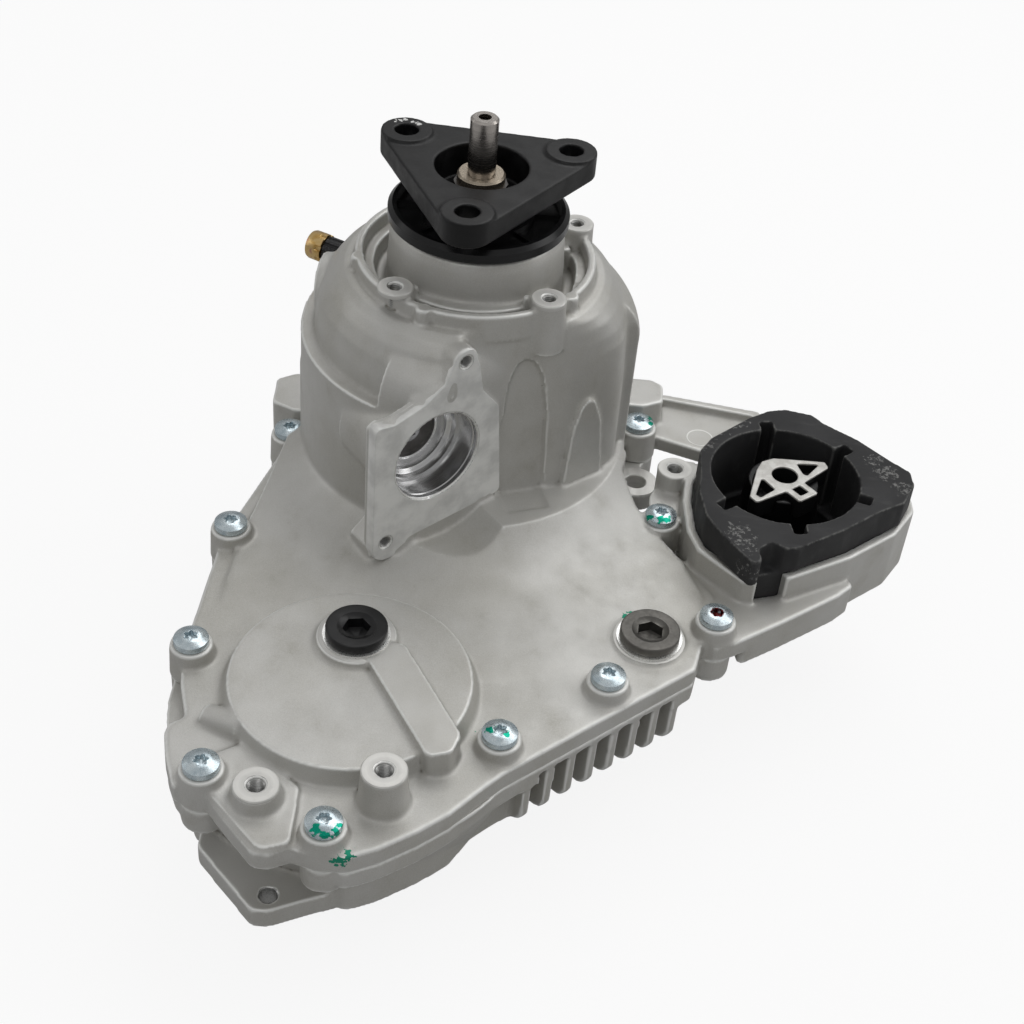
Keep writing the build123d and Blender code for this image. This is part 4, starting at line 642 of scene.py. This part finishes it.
RUBBER = rubber("mount_rubber_skin")
SEAL_RUBBER = black_paint("seal_rubber", 0.55, 0.05)
CORE_CAST = core_metal("core_die_cast", CORE_TOP)
YELLOW = yellow_plate("yellow_plate")
LINING = friction("friction_lining")
ALU_RING = plain_metal("soft_aluminium_ring", rgb(206, 206, 204), 0.3, 0.9)

# Nodes that stay as they are and get a finish
KEPT = {
    STEEL: ["main_shaft", "clutch_hub", "clutch_drum", "steel_plates", "pressure_plate",
            "ramp_ring", "control_ring", "support_ring", "worm_shaft", "upper_sprocket",
            "lower_sprocket", "front_output_shaft", "dowel_sleeves", "return_spring",
            "front_output_flange"],
    DARK_STEEL: ["chain", "flange_nut", "front_nut", "thrust_bearing", "support_bearing",
                 "worm_bushes"],
    BEARING: ["rear_bearing_outer_ring", "rear_bearing_inner_ring", "rear_bearing_balls",
              "front_bearing_outer_ring", "front_bearing_inner_ring", "front_bearing_balls",
              "lower_bearing_outer_ring", "lower_bearing_inner_ring", "lower_bearing_balls",
              "upper_bearing_outer_ring", "upper_bearing_inner_ring", "ramp_balls"],
    BRONZE: ["shaft_collar", "needle_cage"],
    SEAL_RUBBER: ["rear_shaft_seal", "input_seal", "front_output_seal"],
    BLACK_GLOSS: ["dust_shield"],
    BLACK_COAT: ["front_dust_ring"],
    ALU_RING: ["fill_plug_seal", "drain_plug_seal"],
    GROUND: ["centring_pin"],
    LINING: ["friction_plates"],
}
for finish, names in KEPT.items():
    for name in names:
        NODES[name].data.materials.clear()
        NODES[name].data.materials.append(finish)

# Rooms inside the housings, where the casting keeps its machined size
ROOM_LOOP = [(0, 70), (66, 24), (88, -40), (113, -98), (118, -121), (106, -140), (80, -152),
             (33, -193), (26, -200), (0, -240), (-37, -252), (-78, -238), (-100, -200),
             (-98, -160), (-70, 0), (-60, 40)]


def in_rooms(p):
    """Points of the inner rooms, bores and seats."""
    main = np.hypot(p[:, 0], p[:, 1])
    front = np.hypot(p[:, 0] - FRONT_AXIS[0], p[:, 1] - FRONT_AXIS[1])
    z = p[:, 2]
    held = (main < 71) & (z < 106.2) & (z > 30)
    held |= (main < 53) & (z < 200) & (z > 100)
    held |= (main < 37.5) & (z > 190)
    held |= (main < 39) & (z < 50)
    held |= (front < 51) & (z < 92.6) & (z > 60)
    held |= (front < 35.5) & (z < 60)
    held |= inside_loop(p, ROOM_LOOP) & (z > 45) & (z < 84.5)
    return held


def held_rear(p):
    """Inner rooms and the walls of drilled holes."""
    held = in_rooms(p)
    z = p[:, 2]
    for x, y in NECK_BOSSES:
        held |= (np.hypot(p[:, 0] - x, p[:, 1] - y) < 4.6) & (z > 204)
    for x, y in (CONE_BOSS, TALL_BOSS, WEB_BOSS):
        held |= (np.hypot(p[:, 0] - x, p[:, 1] - y) < 5.4) & (z > 80)
    side = p[:, 0] * SERVO_S.x + p[:, 1] * SERVO_S.y
    out = p[:, 0] * SERVO_N.x + p[:, 1] * SERVO_N.y
    held |= (np.hypot(side - SERVO_T, z - SERVO_Z) < SERVO_BORE_R + 1.2) & (out > 14)
    for t, h in SERVO_HOLES:
        held |= (np.hypot(side - t, z - h) < 4.6) & (out > 40)
    return held.astype(float)


def held_front(p):
    """Inner rooms and the plain holes."""
    held = in_rooms(p)
    for (x, y), r in ((LUG_XY, 5.2), (EAR_XY, 7.0)):
        held |= np.hypot(p[:, 0] - x, p[:, 1] - y) < r
    return held.astype(float)


def tube_between(first, last, radius, steps=12):
    """Extra round cast form between two points."""
    a, b = Vector(first), Vector(last)
    length = (b - a).length
    verts, faces = lathe_data([(0, 0), (radius, 0), (radius, length), (0, length)], steps)
    return mesh_of("form", verts, faces), facing(b - a, a)


def ring_form(rings, low_angle=None, high_angle=None, steps=180):
    """Closed form turned about the main axis between two angles in degrees, or all round."""
    if low_angle is None:
        verts, faces = lathe_data(rings, steps, closed=True)
        return mesh_of("form", verts, faces)
    verts, faces = [], []
    rows = len(rings)
    for i in range(steps + 1):
        angle = math.radians(low_angle + (high_angle - low_angle) * i / steps)
        for radius, height in rings:
            r = radius(angle) if callable(radius) else radius
            verts.append((r * math.cos(angle), r * math.sin(angle), height))
    for i in range(steps):
        for k in range(rows):
            a, b = i * rows + k, i * rows + (k + 1) % rows
            faces.append([a, b, b + rows, a + rows])
    faces += [list(range(rows - 1, -1, -1)), list(range(steps * rows, (steps + 1) * rows))]
    return mesh_of("form", verts, faces)


WALL_TURN = SERVO_DIR - math.radians(20.7)
WALL_DISTANCE = 59.9


def wall_at(limit):
    """Radius of the tower where its wall is no further out than a limit."""
    def radius(angle):
        reach = limit
        for turn, distance in ((WALL_TURN, WALL_DISTANCE), (SERVO_DIR, 69.0)):
            lean = math.cos(angle - turn)
            swing = (angle - SERVO_DIR + math.pi) % (2 * math.pi) - math.pi
            if lean < 0.35 or swing < math.radians(-41):
                continue
            other = distance / lean
            gap = (other - reach) / 6.0
            if gap < -1:
                reach = other
            elif gap < 1:
                reach = min(other, reach) - 1.5 * (1 - abs(gap)) ** 2
        return reach
    return radius


def wall_form(loop, turn, low, high):
    """Closed form over an outline in a vertical plane, between two distances from the main axis."""
    return prism_mesh("form", rounded(loop, 5.0), low, high), wall_frame(level(turn))


# Tower: radius and height of its shoulder, and the forms that are cut from it
SHOULDER = [(80.6, 186.0), (78.4, 196.0), (74.8, 204.0), (70.5, 210.0), (66.0, 213.2)]
recess = wall_form([
    (0, 108.6), (26.5, 108.6), (24, 160), (20.5, 182), (16, 191), (11, 194.5), (6, 191),
    (2.5, 180), (0, 150)], WALL_TURN, 57.6, 76.0)
pocket = prism_mesh("form", rounded(servo_plan([
    (-79, 24), (-62.5, 27.5), (-56, 28), (-54.6, 40), (-54.6, 48.5), (-76, 48.5), (-84, 36),
]), 2.5), 179.0, 218.0), None

# Left of the flange the dome stands back from the wall below it
step_back = ring_form([(81.2, 175.5)] + SHOULDER + [
    (60.0, 213.6), (60.0, 230.0), (97.0, 230.0), (97.0, 175.5)], 146.0, 243.0)


def flange_reach(angle):
    """Radius at which the slope of the tower's foot begins, clear of the servo flange."""
    return max(57.9 / max(math.cos(angle - SERVO_DIR), 0.3), 60.0)


# The cover falls away from the tower's foot
foot_slope = ring_form([
    (flange_reach, 108.2), (72.0, 108.2), (110.0, 98.6), (112.0, 114.0), (flange_reach, 114.0),
], -103.0, -4.0)
rear_cuts = [recess, pocket, (step_back, None)]

dome_cap = ring_form([(54.5, 186.0)] + [(wall_at(r), z) for r, z in SHOULDER] + [(54.5, 213.4)])
dome_wall = ring_form([
    (wall_at(83.0), 101.0), (wall_at(82.5), 150.0), (wall_at(81.5), 175.0), (wall_at(80.6), 188.0),
    (54.5, 188.0), (54.5, 108.0), (72.0, 107.9), (72.0, 101.0)], -69.0, 18.0)
neck_wall = ring_form([
    (56.8, 207.0), (61.4, 207.0), (61.2, 220.9), (60.7, 221.5), (57.4, 221.5), (57.0, 220.9)])
rear_adds = [
    (carved(dome_cap, [recess, pocket]), None),
    (carved(dome_wall, [recess]), None),
    (neck_wall, None),
    # Raised pad beside the servo flange
    wall_form([(12, 104), (39.5, 104), (34.5, 146), (29, 160), (24, 163), (19.5, 158), (15.5, 146)],
              SERVO_DIR, 58.0, 70.8),
    # Rib in the pocket
    (prism_mesh("form", rounded(servo_plan([
        (-63.2, 24), (-60.4, 24), (-60.8, 31), (-62.6, 31)]), 0.6), 176.0, 205.0), None),
]
# Pads and pips round the neck
for angle, out, low, high, radius in (
        (-110.5, 60.4, 207, 221.6, 4.0), (-34.0, 60.0, 207, 221.4, 3.6),
        (-123.0, 49.6, 214, 224.0, 1.9), (-56.0, 49.8, 214, 224.0, 1.9),
        (52.0, 60.0, 207, 221.4, 3.6), (-166.0, 60.2, 207, 221.4, 3.6)):
    turn = math.radians(angle)
    foot = out * math.cos(turn), out * math.sin(turn)
    rear_adds.append(tube_between((*foot, low), (*foot, high), radius, 20))
# Breather boss: round ridge and its end flange
ridge = [level(RIDGE_DIR) * out + Vector((0, 0, z)) for out, z in (
    (56, 190.5), (78, 186.0), (74.5, 184.5), (80.0, 184.0))]
rear_adds.append(tube_between(ridge[0], ridge[1], 14.5, 40))
rear_adds.append(tube_between(ridge[2], ridge[3], 18.5, 48))
# Bolt seats stand above the flange
seat_top = BOSS_TOP - 0.05
for x, y in BOLTS:
    seat = lathe_data([(0, 84), (10.7, 84), (10.3, seat_top), (0, seat_top)], 40)
    rear_adds.append((mesh_of("form", *seat), upright(x, y)))
# Short rib from the rim to the bulge
rear_adds.append(tube_between((-101, -211, 88.5), (-82, -219, 92.0), 6.5, 24))

cast_copy("cast_rear_housing", "rear_housing", 0.9, 4, 7, CAST, "housing",
          add=rear_adds, cut=rear_cuts + [(foot_slope, None)], held=held_rear)
cast_copy("cast_front_housing", "front_housing", 1.0, 4, 5, CAST, "housing", held=held_front)

# Output flange, mount body and its core
cast_copy("forged_rear_flange", "rear_output_flange", 0.6, 4, 4, FLANGE_COAT, "main_shaft")
cast_copy("moulded_rubber", "mount_rubber", 0.8, 5, 4, RUBBER, "housing")
cast_copy("die_cast_core", "mount_core", 0.35, 3, 2, CORE_CAST, "housing")


# Bolts, plugs and breather
def torx(size):
    """Six-lobed socket's radius by angle."""
    return lambda angle: size * (0.86 + 0.14 * math.cos(6 * angle))


def bolt_rings():
    """Pan head with a collar, a socket and a short shank."""
    lobes = torx(3.45)
    wide = torx(3.75)
    return [
        (0, -12), (3.9, -12), (3.9, 0.0), (8.1, 0.0), (8.4, 0.25), (8.42, 2.9), (8.3, 3.25),
        (7.9, 3.45), (7.2, 3.75), (6.2, 4.2), (5.2, 4.6), (4.4, 4.85), (wide, 4.95), (lobes, 4.7),
        (lobes, 2.2), (lambda a: lobes(a) * 0.6, 1.9), (0, 1.8),
    ]


def hexagon(flats):
    """Hexagon socket's radius by angle."""
    return lambda angle: flats / 2 / math.cos(angle % (math.pi / 3) - math.pi / 6)


ZINC = zinc("zinc_plate")
BOLT_LOOKS = {
    4: zinc("zinc_plate_marked_a", ([
        (-40, -281, 101.2), (-36, -282, 100.2), (-31, -280, 99.2), (-30, -276, 100.2)], 2.2)),
    5: zinc("zinc_plate_marked_b", ([
        (29.5, -214, 101.7), (33, -214, 103), (37, -216, 102.2)], 1.9)),
    7: zinc("zinc_plate_marked_c", None, ((136.7, -121.8, 100.7), 3.3, rgb(96, 34, 34))),
    8: zinc("zinc_plate_marked_d", ([
        (104, -51, 99.7), (109, -53, 100.7), (113, -53, 100.2)], 2.0)),
    9: zinc("zinc_plate_marked_e", ([(103.5, 36, 100.2), (104, 31, 100.2)], 1.9)),
}


def bolt_set():
    """All perimeter bolts as one piece, each turned differently."""
    verts, faces, looks = [], [], []
    finishes = [ZINC] + list(BOLT_LOOKS.values())
    index = {number: k + 1 for k, number in enumerate(BOLT_LOOKS)}
    part_verts, part_faces = lathe_data(bolt_rings(), 72)
    for number, (x, y) in enumerate(BOLTS):
        base = len(verts)
        place = upright(x, y, BOSS_TOP, BOLT_TURN[0] + BOLT_TURN[1] * number)
        verts += [tuple(place @ Vector(v)) for v in part_verts]
        faces += [[base + i for i in face] for face in part_faces]
        looks += [index.get(number, 0)] * len(part_faces)
    mesh = mesh_of("torx_bolts", verts, faces)
    obj = add_object("torx_bolts", mesh, finishes, "housing", smooth=30.0)
    mesh.polygons.foreach_set("material_index", looks)
    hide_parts("perimeter_bolts")


bolt_set()


def plug(name, node, xy, seat, finish, turn):
    """Screw plug with a turned head, a countersunk rim and a deep hexagon socket."""
    low = seat + 1.2
    six = hexagon(12.0)
    lathe(name, [
        (0, seat - 10), (8.2, seat - 10), (9.0, seat - 9), (9.0, low - 0.5), (8.4, low),
        (14.6, low), (14.95, low + 0.4), (14.95, low + 4.1), (14.8, low + 4.5), (14.4, low + 4.85),
        (14.1, low + 4.9), (13.6, low + 4.92), (9.6, low + 4.92), (9.3, low + 4.9),
        (9.1, low + 4.75), (7.4, low + 3.9), (lambda a: min(7.2, six(a)), low + 3.6),
        (six, low + 3.4), (six, low - 2.0), (lambda a: six(a) * 0.5, low - 3.0), (0, low - 3.2),
    ], upright(*xy, 0, turn), finish, steps=96, smooth=24.0)
    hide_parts(node)


plug("hexagon_fill_plug", "fill_plug", FILL_XY, FILL_SEAT, PLUG_BLACK, 12.0)
plug("hexagon_drain_plug", "drain_plug", DRAIN_XY, DRAIN_SEAT, PLUG_STEEL, 25.0)


def breather():
    """Serrated black stem and its yellow notched cap."""
    out = level(BREATHER_DIR)
    start = facing(out, out * 80.5 + Vector((0, 0, 189.5)))

    def teeth(a):
        return 6.7 + 0.6 * (math.cos(10 * a) > -0.2)

    def notched(a):
        return 7.9 if math.cos(7 * a) > -0.55 else 7.15

    lathe("serrated_breather_stem", [
        (0, -8), (4.4, -8), (4.4, 0), (teeth, 0.0), (teeth, 9.2), (6.4, 9.8), (4.4, 10.2),
        (4.4, 16), (0, 16),
    ], start, BLACK_COAT, steps=120, smooth=30.0)
    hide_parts("breather_body")
    lathe("notched_breather_cap", [
        (7.1, 10.3), (notched, 10.2), (notched, 13.0), (7.85, 13.6), (7.8, 18.4), (7.3, 19.6),
        (6.2, 20.2), (2.4, 20.3), (2.0, 19.9), (0, 19.8), (0, 16.2), (4.5, 16.2), (4.5, 10.4),
    ], start, YELLOW, steps=140, smooth=35.0, closed=True)
    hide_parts("breather_cap")


breather()


# Machined faces, bores and threads
PITCH = 1.0
CHAMFER = 0.9
SKIN = 0.03    # how far a machined face stands over the casting


def thread_rings(radius, top, depth):
    """Profile of a tapped hole below a chamfer."""
    root = radius - 0.15
    crest = root - 0.45
    rings = [(radius + CHAMFER, top), (radius - 0.1, top - 1.0)]
    z = top - 1.0
    while z > top - depth:
        rings += [(root, z - PITCH * 0.1), (crest, z - PITCH * 0.45),
                  (crest, z - PITCH * 0.6), (root, z - PITCH * 0.95)]
        z -= PITCH
    return rings + [(crest - 0.05, z), (0, z - radius * 0.6)]


def tapped_boss(name, place, radius, hole, depth):
    """Milled boss top with a tapped hole, its top in the frame's plane."""
    lathe(name, [(radius + 0.02, -2.4), (radius + 0.06, -0.5), (radius - 0.4, SKIN),
                 (hole + CHAMFER, SKIN)], place, MILLED, steps=72)
    lathe(name + "_thread", thread_rings(hole, SKIN, depth), place, THREAD, steps=48, smooth=25.0)


for number, (x, y) in enumerate(NECK_BOSSES):
    tapped_boss(f"neck_boss_{number + 1}", upright(x, y, NECK_BOSS_TOP), 8.7, 3.4, 18)
tapped_boss("cone_boss", upright(*CONE_BOSS, 100.5), 10.4, 4.2, 16)
tapped_boss("tall_boss", upright(*TALL_BOSS, 110.0), 10.4, 4.2, 22)
tapped_boss("web_boss", upright(*WEB_BOSS, 103.0), 9.5, 4.2, 16)

PLATE_LOOP = [
    (-43, 211.5), (-38.4, 199.2), (-35.3, 183.1), (-24.4, 169.6), (-19.5, 112.6), (-77.6, 107.3),
    (-79.6, 103.4), (-83.6, 100.0), (-88.6, 98.8), (-93.6, 99.4), (-97.6, 102.2), (-99.3, 107.0),
    (-99.1, 184.3), (-87.6, 182.7), (-70.4, 187.7), (-59.1, 195.1), (-52, 210.5),
]
add_object("servo_flange_face", plate_mesh(
    "servo_flange_face",
    [rounded(PLATE_LOOP, 4), circle(SERVO_T, SERVO_Z, SERVO_BORE_R + 0.8, 96)]
    + [circle(t, h, 4.2, 40) for t, h in SERVO_HOLES],
    -6.0, 0.05, 0.55,
), FACE, "housing", servo_frame(0, 0, SERVO_FACE))
for number, (t, h) in enumerate(SERVO_HOLES):
    lathe(f"servo_hole_{number + 1}", thread_rings(3.4, 0.05, 14), servo_frame(t, h, SERVO_FACE),
          THREAD, steps=48, smooth=25.0)
lathe("servo_bore_liner", [
    (25.6, 0.04), (24.6, -0.9), (24.55, -3.0), (24.0, -3.4), (24.0, -4.2), (24.4, -4.6),
    (24.35, -15.0), (22.2, -15.4), (22.0, -18.5), (20.0, -20.2), (19.6, -21.7), (15.2, -21.9),
    (14.35, -22.6), (14.3, -33.0),
], servo_frame(SERVO_T, SERVO_Z, SERVO_FACE), BRIGHT, steps=128, smooth=28.0)

ear_loops = [circle(*EAR_XY, 12.5), circle(*EAR_XY, 6.1, 40)]
add_object("ear_face", plate_mesh("ear_face", ear_loops, 77.2, 78.06, 0.25), MILLED, "housing")
lathe("ear_hole", [(6.2, 78.06), (5.8, 77.5), (5.75, 67.5), (6.2, 67.0)], upright(*EAR_XY),
      MILLED, steps=48)
# The plain hole's wall takes the darker tapped-thread finish as painted shade inside the hole
lathe("lug_hole", [(4.6, 50.03), (4.15, 49.6), (4.1, 38.5), (4.6, 38.0)], upright(*LUG_XY),
      THREAD, steps=48)
lathe("drain_seat", [(17.6, 90.2), (17.9, 90.95), (17.5, 91.05), (16.45, 91.05), (9.2, 91.02)],
      upright(*DRAIN_XY), MILLED)
lathe("fill_seat", [(18.3, 102.3), (18.5, 102.9), (18.2, 103.04), (9.2, 103.02)],
      upright(*FILL_XY), MILLED)

# Ejector mark on the arm
lathe("ejector_mark", [(7.7, 86.8), (7.65, 87.12), (7.3, 87.16), (7.0, 87.05), (6.9, 86.8)],
      upright(134, 40), CAST, steps=64)

# Camera at the photograph's place
pitch = math.radians(39.88415)
roll = math.radians(5.38878)
ahead = Vector((0, math.cos(pitch), -math.sin(pitch)))
right = Vector((math.cos(roll), math.sin(roll) * math.sin(pitch), math.sin(roll) * math.cos(pitch)))
above = Vector((
    -math.sin(roll), math.cos(roll) * math.sin(pitch), math.cos(roll) * math.cos(pitch)))
lens = bpy.data.cameras.new("photo_camera")
lens.lens = 59.486
lens.sensor_width = 36.0
lens.clip_end = 50.0
camera = bpy.data.objects.new("photo_camera", lens)
camera.matrix_world = Matrix.Translation((0.030491, -0.740801, 0.670884)) @ Matrix(
    (right, above, -ahead)).transposed().to_4x4()
bpy.context.scene.collection.objects.link(camera)
bpy.context.scene.camera = camera


# Studio
LAMP_AIM = Vector((0, -0.05, 0.1))


def softbox(name, place, size, power):
    """Area lamp that looks at the part."""
    data = bpy.data.lights.new(name, "AREA")
    data.shape = "RECTANGLE"
    data.size, data.size_y = size
    data.energy = power
    lamp = bpy.data.objects.new(name, data)
    lamp.matrix_world = Matrix.Translation(place) @ (LAMP_AIM - Vector(place)).to_track_quat(
        "-Z", "Y").to_matrix().to_4x4()
    bpy.context.scene.collection.objects.link(lamp)


softbox("top_softbox", (0.45, 0.75, 1.6), (1.7, 1.2), 11.0)
softbox("right_softbox", (1.5, 0.2, 0.8), (0.9, 1.2), 4.5)
softbox("front_softbox", (-0.5, -1.5, 1.5), (1.2, 0.8), 3.0)
softbox("left_softbox", (-1.6, 0.1, 0.7), (1.0, 1.0), 2.2)

world = bpy.data.worlds.new("studio")
bpy.context.scene.world = world
world.use_nodes = True
tree = world.node_tree
background = tree.nodes["Background"]
rays = tree.nodes.new("ShaderNodeLightPath")
seen = tree.nodes.new("ShaderNodeMath")
seen.operation = "MAXIMUM"
tree.links.new(rays.outputs["Is Camera Ray"], seen.inputs[0])
tree.links.new(rays.outputs["Is Transmission Ray"], seen.inputs[1])
sky = tree.nodes.new("ShaderNodeTexCoord")
parts = tree.nodes.new("ShaderNodeSeparateXYZ")
tree.links.new(sky.outputs["Generated"], parts.inputs[0])
room = tree.nodes.new("ShaderNodeMapRange")
for slot, value in ((1, -0.1), (2, 0.9), (3, 0.24), (4, 0.52)):
    room.inputs[slot].default_value = value
tree.links.new(parts.outputs[2], room.inputs[0])
strength = tree.nodes.new("ShaderNodeMix")
tree.links.new(seen.outputs[0], strength.inputs[0])
tree.links.new(room.outputs[0], strength.inputs[2])
strength.inputs[3].default_value = 1.0
tree.links.new(strength.outputs[0], background.inputs["Strength"])
background.inputs["Color"].default_value = (1.0, 1.0, 1.0, 1.0)

FLOOR_HALF = 4000
FLOOR_Z = -0.6
floor_mesh = mesh_of("studio_floor", [
    (x * FLOOR_HALF, y * FLOOR_HALF, FLOOR_Z) for x, y in ((-1, -1), (1, -1), (1, 1), (-1, 1))
], [[0, 1, 2, 3]])
floor = bpy.data.objects.new("studio_floor", floor_mesh)
bpy.context.scene.collection.objects.link(floor)
paper = bpy.data.materials.new("white_paper")
paper.use_nodes = True
tree = paper.node_tree
shader = tree.nodes["Principled BSDF"]
shader.inputs["Base Color"].default_value = (0.5, 0.5, 0.5, 1.0)
shader.inputs["Roughness"].default_value = 0.9
glow = tree.nodes.new("ShaderNodeEmission")
glow.inputs["Color"].default_value = (1.0, 1.0, 1.0, 1.0)
glow.inputs["Strength"].default_value = 1.1
rays = tree.nodes.new("ShaderNodeLightPath")
share = tree.nodes.new("ShaderNodeMath")
share.operation = "MULTIPLY"
share.inputs[1].default_value = 0.8
tree.links.new(rays.outputs["Is Camera Ray"], share.inputs[0])
blend = tree.nodes.new("ShaderNodeMixShader")
tree.links.new(share.outputs[0], blend.inputs[0])
tree.links.new(shader.outputs[0], blend.inputs[1])
tree.links.new(glow.outputs[0], blend.inputs[2])
tree.links.new(blend.outputs[0], tree.nodes["Material Output"].inputs[0])
floor_mesh.materials.append(paper)

bpy.context.scene.view_settings.view_transform = "Standard"
